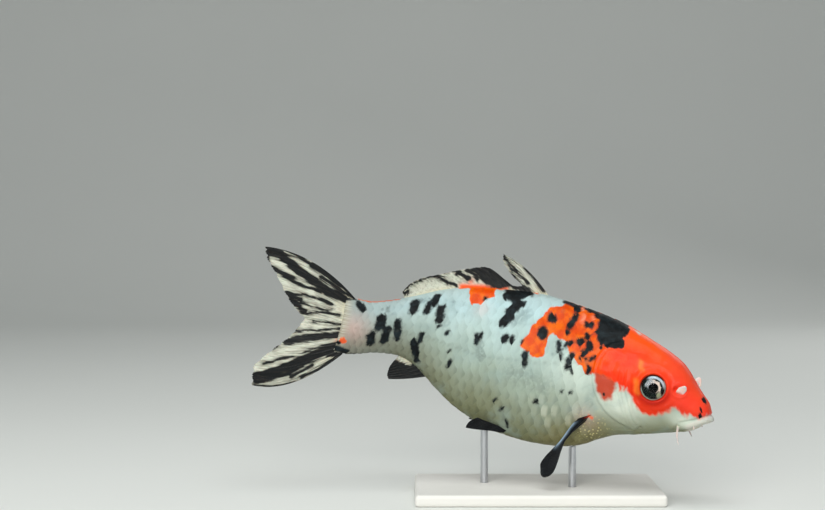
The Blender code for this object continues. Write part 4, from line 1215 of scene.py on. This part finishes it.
TAIL_INK = [
    (1.2, (124.0, 15.2), (121.3, 14.8)), (0.4, (125.2, 16.1), (123.6, 10.8)),
    (1.15, (120.8, 14.5), (117.3, 12.6), (114.4, 11.1), (111.0, 9.7)),
    (1.0, (111.0, 9.7), (106.7, 8.0), (102.1, 6.9)),
    (0.4, (125.0, 16.6), (121.7, 16.7), (116.2, 15.3), (113.4, 14.2)),
    (0.45, (109.4, 11.2), (105.8, 9.8), (102.3, 8.5)),
    (0.8, (112.4, 13.8), (109.6, 12.8), (105.8, 11.3), (101.1, 9.3)),
    (0.6, (101.5, 8.6), (98.8, 7.6)),
    (0.5, (123.7, 11.2), (121.6, 10.6), (118.8, 9.7), (115.5, 8.5), (111.9, 7.8), (108.8, 7.6)),
    (0.55, (117.5, 5.2), (115.5, 4.6), (113.3, 4.4)),
    (0.7, (115.7, 3.9), (113.7, 2.6), (111.7, 1.3)),
    (0.3, (117.4, 5.5), (115.2, 5.2), (112.7, 5.8), (109.2, 5.6), (105.1, 4.9)),
    (0.25, (113.1, 3.6), (110.8, 3.2), (107.7, 3.0), (104.7, 3.2)),
    (0.2, (111.1, 0.9), (107.1, 2.2), (102.3, 2.4)),
    (0.2, (108.6, -0.7), (104.8, -0.2), (101.3, 0.0)),
    (0.25, (113.3, -4.6), (110.9, -3.8), (107.2, -3.0), (101.3, -1.1)),
    (0.45, (117.3, -9.8), (116.2, -8.0), (114.5, -7.0)),
    (0.8, (114.8, -7.5), (111.6, -6.4), (108.0, -5.0), (104.8, -3.8), (101.1, -2.8)),
    (0.22, (119.1, -14.4), (116.5, -13.2), (113.9, -11.7), (110.7, -10.2), (107.3, -8.1),
     (104.6, -6.6)),
    (1.55, (119.9, -18.5), (117.7, -17.4), (115.0, -15.9), (112.4, -14.2), (109.8, -12.2)),
    (1.3, (109.8, -12.2), (107.6, -10.4), (105.4, -8.8), (102.7, -7.1)),
    (0.2, (120.1, -20.5), (116.3, -20.0), (112.6, -18.9), (110.3, -17.5), (108.5, -16.1)),
    (0.5, (108.5, -16.1), (105.9, -14.0), (104.1, -12.5), (102.0, -10.3), (99.4, -8.4),
     (97.2, -7.3)),
    (0.3, (111.1, -16.2), (108.9, -14.4), (106.3, -12.3)),
    (0.9, (104.8, -7.8), (103.3, -6.6), (101.3, -5.7)),
    (0.8, (103.7, -8.4), (101.2, -8.1), (97.9, -7.0))]


def rays_between(controls, count):
    """Roots, tips and bows of evenly spaced rays, read off the smooth run of the controls."""
    run = np.arange(len(controls))
    at = np.linspace(0, len(controls) - 1, count)
    return np.stack([smooth_value(list(zip(run, column)), at) for column in zip(*controls)], -1)


def ray_ridges(number, t, forks):
    """How much each place belongs to a ray: 1 on a ray, 0 on the web; rays branch twice."""
    apart = np.abs(number - np.rint(number))
    first_fork = 0.17 * ease(t, forks[0], forks[0] + 0.35)
    second_fork = 0.085 * ease(t, forks[1], forks[1] + 0.25)
    width = 0.15 - 0.09 * ease(t, 0.1, 0.9)
    return bump(np.abs(apart - first_fork) - second_fork, width)


def ray_tips(number):
    """1 where a ray's branches reach the edge of the fin, and 0 between them."""
    return ray_ridges(number, 1 + 0 * number, (0.3, 0.6))


def fin_sheet(name, mid, number, t, forks, root_thickness, edge_thickness, ray_thickness):
    """A fin's middle surface, with the wall it is to have: thin at the edge, ridged by its rays."""
    fin, at = laid_grid(name, bend(mid))
    number, t = np.broadcast_arrays(number, t)
    ridges = ray_ridges(number, t, forks)
    plain = root_thickness + (edge_thickness - root_thickness) * ease(t, 0, 0.4)
    thickness = plain + ray_thickness * ridges * (1 - 0.75 * ease(t, 0.55, 1.0))
    most = thickness.max()
    group = fin.vertex_groups.new(name="thickness")
    for index, share in enumerate((thickness / most)[at]):
        group.add([index], float(share), "REPLACE")
    store(fin, "ridge", ridges[at])
    store(fin, "reach", t[at])
    store(fin, "along_ray", np.stack([number, t * 6, 0 * t], axis=-1)[at])
    wall = fin.modifiers.new("Thickness", "SOLIDIFY")
    wall.thickness, wall.offset = most * UNIT, 0
    wall.vertex_group = group.name
    return fin, at


def finish_sheet(fin, tint, material, ink=None):
    """Keeps the fin's marks, gives it its wall, closes it and paints it."""
    store(fin, "tint", tint)
    if ink is not None:
        store(fin, "ink", ink)
    bpy.ops.object.modifier_apply(modifier="Thickness")
    fin.vertex_groups.clear()
    close_up(fin)
    fin.data.materials.append(material)


FIN_SINK = 0.5                   # a fin's root lies this far inside the body
TAIL_ROOTS_F = 99.2


def middle_fin(name, controls, root_line, rays, per_ray, steps, sway):
    """A fin in the fish's middle plane, from the run of its control rays."""
    run = rays_between(controls, (rays - 1) * per_ray + 1)
    number = np.linspace(0, rays - 1, len(run))[:, None]
    t = np.linspace(0, 1, steps)[None, :]
    root_f, tip_f, tip_h, bow = (column[:, None] for column in run.T)
    if root_line is None:                    # the tail's controls start with a height
        root_f, root_h = TAIL_ROOTS_F + 0 * root_f, root_f
    else:
        root_h = smooth_value(root_line, root_f)
        root_h = root_h - FIN_SINK * np.sign(root_h)
    reach = t * (1 - 0.022 * (1 - ray_tips(number)))
    f = root_f + (tip_f - root_f) * reach
    h = root_h + (tip_h - root_h) * reach + bow * 4 * reach * (1 - reach)
    folds = 0.10 * np.cos(number * 2 * math.pi) * ease(t, 0.15, 0.8)
    mid = np.stack([f, sway(number / (rays - 1), t) + folds, h], axis=-1)
    fin, at = fin_sheet(name, mid, number, t, forks=(0.32, 0.62), root_thickness=0.55,
                        edge_thickness=0.16, ray_thickness=0.16)
    return fin, at, f, h


def fin_ink(f, h, marks):
    """How far inside the ink each place of a fin lies."""
    return np.maximum(strokes_depth(f, h, marks), -3)


def ray_bumps(paint, hairs):
    """The joints across the rays, and the fine hairs along them."""
    joints = paint.bands(paint.stored("along_ray", "Vector"), "Y", 1.5, 0.6)
    return paint.bumped(joints * paint.stored("ridge") + hairs * 0.6, 0.00006)


CLEAR_AT_EDGE = 0.07


def fin_finish():
    """Cream web, a little clear at its edge, with black ink and warm marks where they are kept."""
    paint = Paint("cream_fin", Specular_IOR_Level=0.2, Subsurface_Weight=0.10,
                  Subsurface_Scale=0.0006)
    ray_space = paint.stored("along_ray", "Vector")
    ragged = (paint.noise(1.0, 4.0, paint.stretched(ray_space, (2.6, 0.7, 1.0))) - 0.5) * 3.4
    hairs = paint.noise(1.0, 3.0, paint.stretched(ray_space, (9.0, 1.2, 1.0)))
    ridge, reach, ink = (paint.stored(name) for name in ("ridge", "reach", "ink"))
    web = paint.mottled(reach, 0.35, 0.0, (200, 203, 188), (206, 201, 174))
    faint = paint.ease(ink + ragged * 1.3, -1.1, -0.2) * 0.45
    inked = paint.ease(ink + ragged * 0.6, -0.34, 0.10)
    black = paint.mottled(hairs, 0.5, 0.85, (14, 17, 19), (62, 58, 50))
    paint.feed("Base Color", paint.layers(web, (ridge * 0.35, (218, 218, 202)),
                                          (paint.ease(hairs, 0.48, 0.66) * 0.5,
                                           (122, 116, 100)),
                                          (paint.stored("tint"), (240, 88, 34)),
                                          (faint, (92, 88, 76)), (inked, black)))
    paint.feed("Roughness", 0.34 + hairs * 0.2)
    paint.feed("Normal", ray_bumps(paint, hairs))
    clear = paint.ease(reach, 0.55, 1.0) * (1 - ridge * 0.5) * (1 - inked)
    paint.feed("Alpha", 1 - clear * CLEAR_AT_EDGE)
    return paint.material


def dorsal_sway(u, t):
    return t * t * (0.55 * np.sin(u * 5.5 + 0.4) + 0.25 * np.sin(u * 13))


def tail_sway(u, t):
    return t * t * (0.9 * np.sin(u * 4.2 - 0.3) + 0.35 * np.sin(u * 11 + 1))


def anal_sway(u, t):
    return 0.35 * t * t * np.sin(u * 4 + 0.5)


cream_finish = fin_finish()

dorsal, at, f, h = middle_fin("dorsal_web", DORSAL_RAYS, BACK_LINE, rays=26, per_ray=9,
                              steps=44, sway=dorsal_sway)
saddle = bump(line_distance(f, h, [(60.6, 19.3), (63.5, 18.7), (72.2, 17.1)]), 0.75)
saddle = np.maximum(saddle, 0.6 * spot(f, h, (70.2, 18.7), (1, 1)))
finish_sheet(dorsal, saddle[at], cream_finish, fin_ink(f, h, DORSAL_INK)[at])
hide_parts("dorsal_fin")

tail, at, f, h = middle_fin("tail_web", TAIL_RAYS, None, rays=21, per_ray=10, steps=84,
                            sway=tail_sway)
warm_root = 0.9 * spot(f, h, (100.6, -4.0), (1, 1), 1.1)
finish_sheet(tail, warm_root[at], cream_finish, fin_ink(f, h, TAIL_INK)[at])
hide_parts("tail_lobe_upper", "tail_lobe_lower")

anal, at, f, h = middle_fin("anal_web", ANAL_RAYS, BELLY_LINE, rays=9, per_ray=9, steps=34,
                            sway=anal_sway)
cream_root = line_distance(f, h, [(85.6, -5.0), (83.4, -5.5), (81.5, -5.9)]) - 1.0
finish_sheet(anal, (0 * f)[at], cream_finish, cream_root[at])
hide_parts("anal_fin")
for fin in (dorsal, tail, anal):
    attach(fin, "root")

# ---------------------------------------------------------------- paired fins
# The pectoral fins stand on short fleshy stalks behind the gill covers, and the pelvic fins under
# the belly. The right pectoral hangs edge on, and the left one is spread as the fish turns.
PECTORAL_WIDTHS = [(0, 3.0), (0.35, 4.0), (0.7, 7.0), (0.88, 7.4), (1, 3.6)]
FURLED_WIDTHS = [(0, 3.7), (0.1, 2.7), (0.21, 1.9), (0.42, 1.5), (0.6, 3.2), (0.78, 5.4),
                 (0.9, 6.2), (1, 4.0)]
PELVIC_WIDTHS = [(0, 1.0), (0.3, 2.2), (0.6, 3.4), (1, 4.6)]
PAIRED_FINS = dict(
    pectoral_right=dict(root=(30.2, -7.95, -7.9), tip=(38.0, -8.6, -25.5),
                        chord=(0.85, 0, -0.5), end_chord=(0.8, 0.6, 0.1),
                        widths=FURLED_WIDTHS, bow=(1.2, 0, 0), rays=15),
    pectoral_left=dict(root=(29.0, 8.6, -8.3), tip=(42.5, 20.5, -10.5), chord=(0.75, 0.1, -0.7),
                       end_chord=(0.8, -0.35, -0.35), widths=PECTORAL_WIDTHS,
                       bow=(-0.5, 0.5, 0.6), rays=15))
for side_word, side in SIDES.items():
    PAIRED_FINS["pelvic_" + side_word] = dict(
        root=(52.2, 4.4 * side, -17.1), tip=(61.8, 6.6 * side, -16.5),
        chord=(0.6, -0.1 * side, -0.78), end_chord=(0.60, -0.25 * side, -0.76),
        widths=PELVIC_WIDTHS, bow=(0, 0.3 * side, -0.1), rays=9)


def unit(vectors):
    """The same ways, each one long."""
    return vectors / np.linalg.norm(vectors, axis=-1, keepdims=True)


FACES_PER_RAY, STEPS_OUT = 10, 64
ROOT_START = -0.03               # share of the fin's length that lies inside the body


def paired_fin(name, root, tip, chord, end_chord, widths, bow, rays):
    """A blade whose chord turns from its root to its tip, with rays fanning out of the stalk."""
    root, tip, bow = np.array(root), np.array(tip), np.array(bow)
    number = np.linspace(0, rays - 1, (rays - 1) * FACES_PER_RAY + 1)[:, None]
    share = number / (rays - 1) * 2 - 1
    t = np.linspace(ROOT_START, 1, STEPS_OUT)[None, :]
    turned = np.clip(t, 0, 1)[..., None] ** 0.7
    across = unit(np.array(chord) * (1 - turned) + np.array(end_chord) * turned)
    width = smooth_value(widths, np.clip(t, 0, 1))[..., None]
    webbed = 1 - 0.02 * (1 - ray_tips(number))
    reach = (t * (1 - 0.06 * share ** 2) * webbed)[..., None]
    spine = root + (tip - root) * reach + bow * 4 * reach * (1 - reach)
    facing = unit(np.cross(across, tip - root))
    cup = 0.35 * (share ** 2)[..., None] * ease(t, 0.2, 0.9)[..., None] * facing
    folds = (0.10 * np.cos(number * 2 * math.pi) * ease(t, 0.2, 0.8))[..., None] * facing
    mid = spine + share[..., None] * width / 2 * across + cup + folds
    fin, at = fin_sheet(name, mid, number, t, forks=(0.35, 0.65), root_thickness=0.9,
                        edge_thickness=0.17, ray_thickness=0.15)
    share, t = np.broadcast_arrays(share, t)
    return fin, share[at], t[at]


def black_fin_finish():
    """Black web with a painted pale blue highlight along its leading edge, and a red spot where it
    starts.
    """
    paint = Paint("black_fin", Specular_IOR_Level=0.15, Coat_Weight=0.10)
    ray_space = paint.stored("along_ray", "Vector")
    hairs = paint.noise(1.0, 3.0, paint.stretched(ray_space, (6.0, 1.0, 1.0)))
    black = paint.mottled(hairs, 0.4, 0.8, (10, 12, 15), (30, 34, 38))
    # painted highlight: a pale blue line along the leading edge
    rim = paint.stored("rim") * (hairs + 0.35)
    paint.feed("Base Color", paint.layers(black, (rim, (160, 184, 204)),
                                          (paint.stored("tint"), (226, 70, 40))))
    paint.feed("Roughness", 0.30 + hairs * 0.25)
    paint.feed("Normal", ray_bumps(paint, hairs))
    return paint.material


def paired_streaks(share, t):
    """The left pectoral is cream, inked along its first rays and in a few streaks."""
    streak = 0.35 - np.abs(np.sin(share * 5.0 + 0.6)) * 0.9
    return np.maximum(0.5 - 2.2 * np.abs(share + 0.95), streak * ease(t, 0.25, 0.6) - 0.15)


black_finish = black_fin_finish()
for name, spec in PAIRED_FINS.items():
    part, side_word = name.split("_")
    fin, share, t = paired_fin(name + "_web", **spec)
    cream, pectoral = name == "pectoral_left", part == "pectoral"
    if not cream:
        # where the painted highlight lies: on the leading edge, from near the root to about half
        # way, pectorals only
        lit = bump(share - 1, 0.75) * ease(t, 0.02, 0.1) * ease(t, 0.62, 0.45)
        store(fin, "rim", lit * pectoral)
    start_spot = bump(np.hypot(t - 0.005, (share + 1) * 0.03), 0.016)
    finish_sheet(fin, start_spot * pectoral, cream_finish if cream else black_finish,
                 paired_streaks(share, t) if cream else None)
    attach(fin, "root")
    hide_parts(part + "_fin_" + side_word)

# ---------------------------------------------------------------- the display stand
# A moulded off-white base plate carries two thin steel rods, pressed into it, which hold the
# fish up under its belly. The solids are kept as they are, and only finished.


def base_finish():
    """Off-white plastic with a fine satin grain."""
    paint = Paint("satin_base", Specular_IOR_Level=0.4)
    cloud = paint.noise(60)
    paint.feed("Base Color", paint.mix(cloud, (226, 224, 218), (232, 230, 225)))
    paint.feed("Roughness", 0.42 + paint.noise(900, 3.0) * 0.16)
    paint.feed("Normal", paint.bumped(paint.noise(5200), 0.00004))
    return paint.material


def rod_finish():
    """Steel brushed lengthwise."""
    paint = Paint("brushed_rod", Metallic=1.0, Base_Color=(196, 198, 202))
    brushed = paint.noise(9000, 2.0, paint.stretched(paint.place(), (1.0, 1.0, 0.04)))
    paint.feed("Roughness", 0.22 + brushed * 0.2)
    paint.feed("Normal", paint.bumped(brushed, 0.00001))
    return paint.material


def refinish(node, material):
    """Gives a solid of the stand its finish."""
    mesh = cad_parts[node].data
    if mesh.materials:
        mesh.materials[0] = material
    else:
        mesh.materials.append(material)


refinish("stand_base", base_finish())
rod_material = rod_finish()
for node in ("stand_rod_front", "stand_rod_rear"):
    refinish(node, rod_material)

# ---------------------------------------------------------------- floor, lights and camera
# The studio is a sheet of pale paper, laid flat under the stand and curved up into a backdrop.
# Three soft boxes light it: one overhead, one in front and a weak one behind.
FLOOR_HALF, SWEEP_START, SWEEP_RADIUS, WALL_HEIGHT = 2.5, 0.75, 0.6, 2.2


def make_backdrop():
    """A floor that runs back, turns up through a quarter round and ends as a wall."""
    across = np.linspace(-FLOOR_HALF, FLOOR_HALF, 9)
    turn = np.linspace(0, math.pi / 2, 24)
    y = np.concatenate([[-FLOOR_HALF], SWEEP_START + SWEEP_RADIUS * np.sin(turn),
                        [SWEEP_START + SWEEP_RADIUS]])
    z = np.concatenate([[0], SWEEP_RADIUS * (1 - np.cos(turn)), [WALL_HEIGHT]])
    floor_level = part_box("stand_base")[0].z
    places = np.stack(np.broadcast_arrays(across[:, None], y[None, :], z[None, :] + floor_level),
                      axis=-1)
    backdrop = laid_grid("backdrop", places)[0]
    bpy.ops.object.shade_smooth()
    paint = Paint("backdrop_paper", Roughness=0.8, Specular_IOR_Level=0.2)
    paper = paint.mix(paint.noise(6), (222, 224, 220), (226, 228, 224))
    paint.feed("Base Color", paper)
    backdrop.data.materials.append(paint.material)


MODEL_MIDDLE = (-0.01, 0, 0.045)
SOFT_BOXES = dict(
    overhead=dict(location=(-0.05, -0.30, 0.75), size=(0.7, 0.5), watts=3.5,
                  colour=(0.97, 1.0, 1.0)),
    front=dict(location=(-0.25, -0.80, 0.40), size=(0.6, 0.5), watts=5.6,
               colour=(1.0, 0.99, 0.96)),
    rear=dict(location=(0.45, 0.6, 0.45), size=(0.5, 0.4), watts=1.0, colour=(1.0, 1.0, 1.0)))


def soft_box(name, location, size, watts, colour):
    """A rectangular lamp turned towards the model."""
    lamp = bpy.data.lights.new(name, "AREA")
    lamp.shape = "RECTANGLE"
    lamp.size, lamp.size_y = size
    lamp.energy = watts
    lamp.color = colour
    light = bpy.data.objects.new(name, lamp)
    bpy.context.scene.collection.objects.link(light)
    light.location = location
    aim = np.array(MODEL_MIDDLE) - np.array(location)
    turn = math.atan2(aim[0], -aim[1])
    tilt = math.atan2(math.hypot(aim[0], aim[1]), -aim[2])
    light.rotation_euler = (tilt, 0, turn + math.pi)


CAMERA_AIM = np.array([-0.0428, 0, 0.0396 + SPINE_HEIGHT])
CAMERA_DISTANCE = 0.5510


def make_camera():
    """Looks along +Y at the fish's right side, two degrees down."""
    elevation = math.radians(2)
    lens = bpy.data.cameras.new("camera")
    lens.lens, lens.sensor_width = 70, 36
    lens.clip_start, lens.clip_end = 0.01, 20
    camera = bpy.data.objects.new("camera", lens)
    bpy.context.scene.collection.objects.link(camera)
    away = np.array([0, -math.cos(elevation), math.sin(elevation)])
    camera.location = CAMERA_AIM + CAMERA_DISTANCE * away
    camera.rotation_euler = (math.pi / 2 - elevation, 0, 0)
    bpy.context.scene.camera = camera


make_backdrop()
for name, spec in SOFT_BOXES.items():
    soft_box(name, **spec)
world = bpy.data.worlds.new("studio_air")
bpy.context.scene.world = world
world.use_nodes = True
air = world.node_tree.nodes["Background"].inputs
air["Color"].default_value = (0.86, 0.90, 0.92, 1)
air["Strength"].default_value = 0.26
bpy.context.scene.view_settings.view_transform = "Standard"
make_camera()
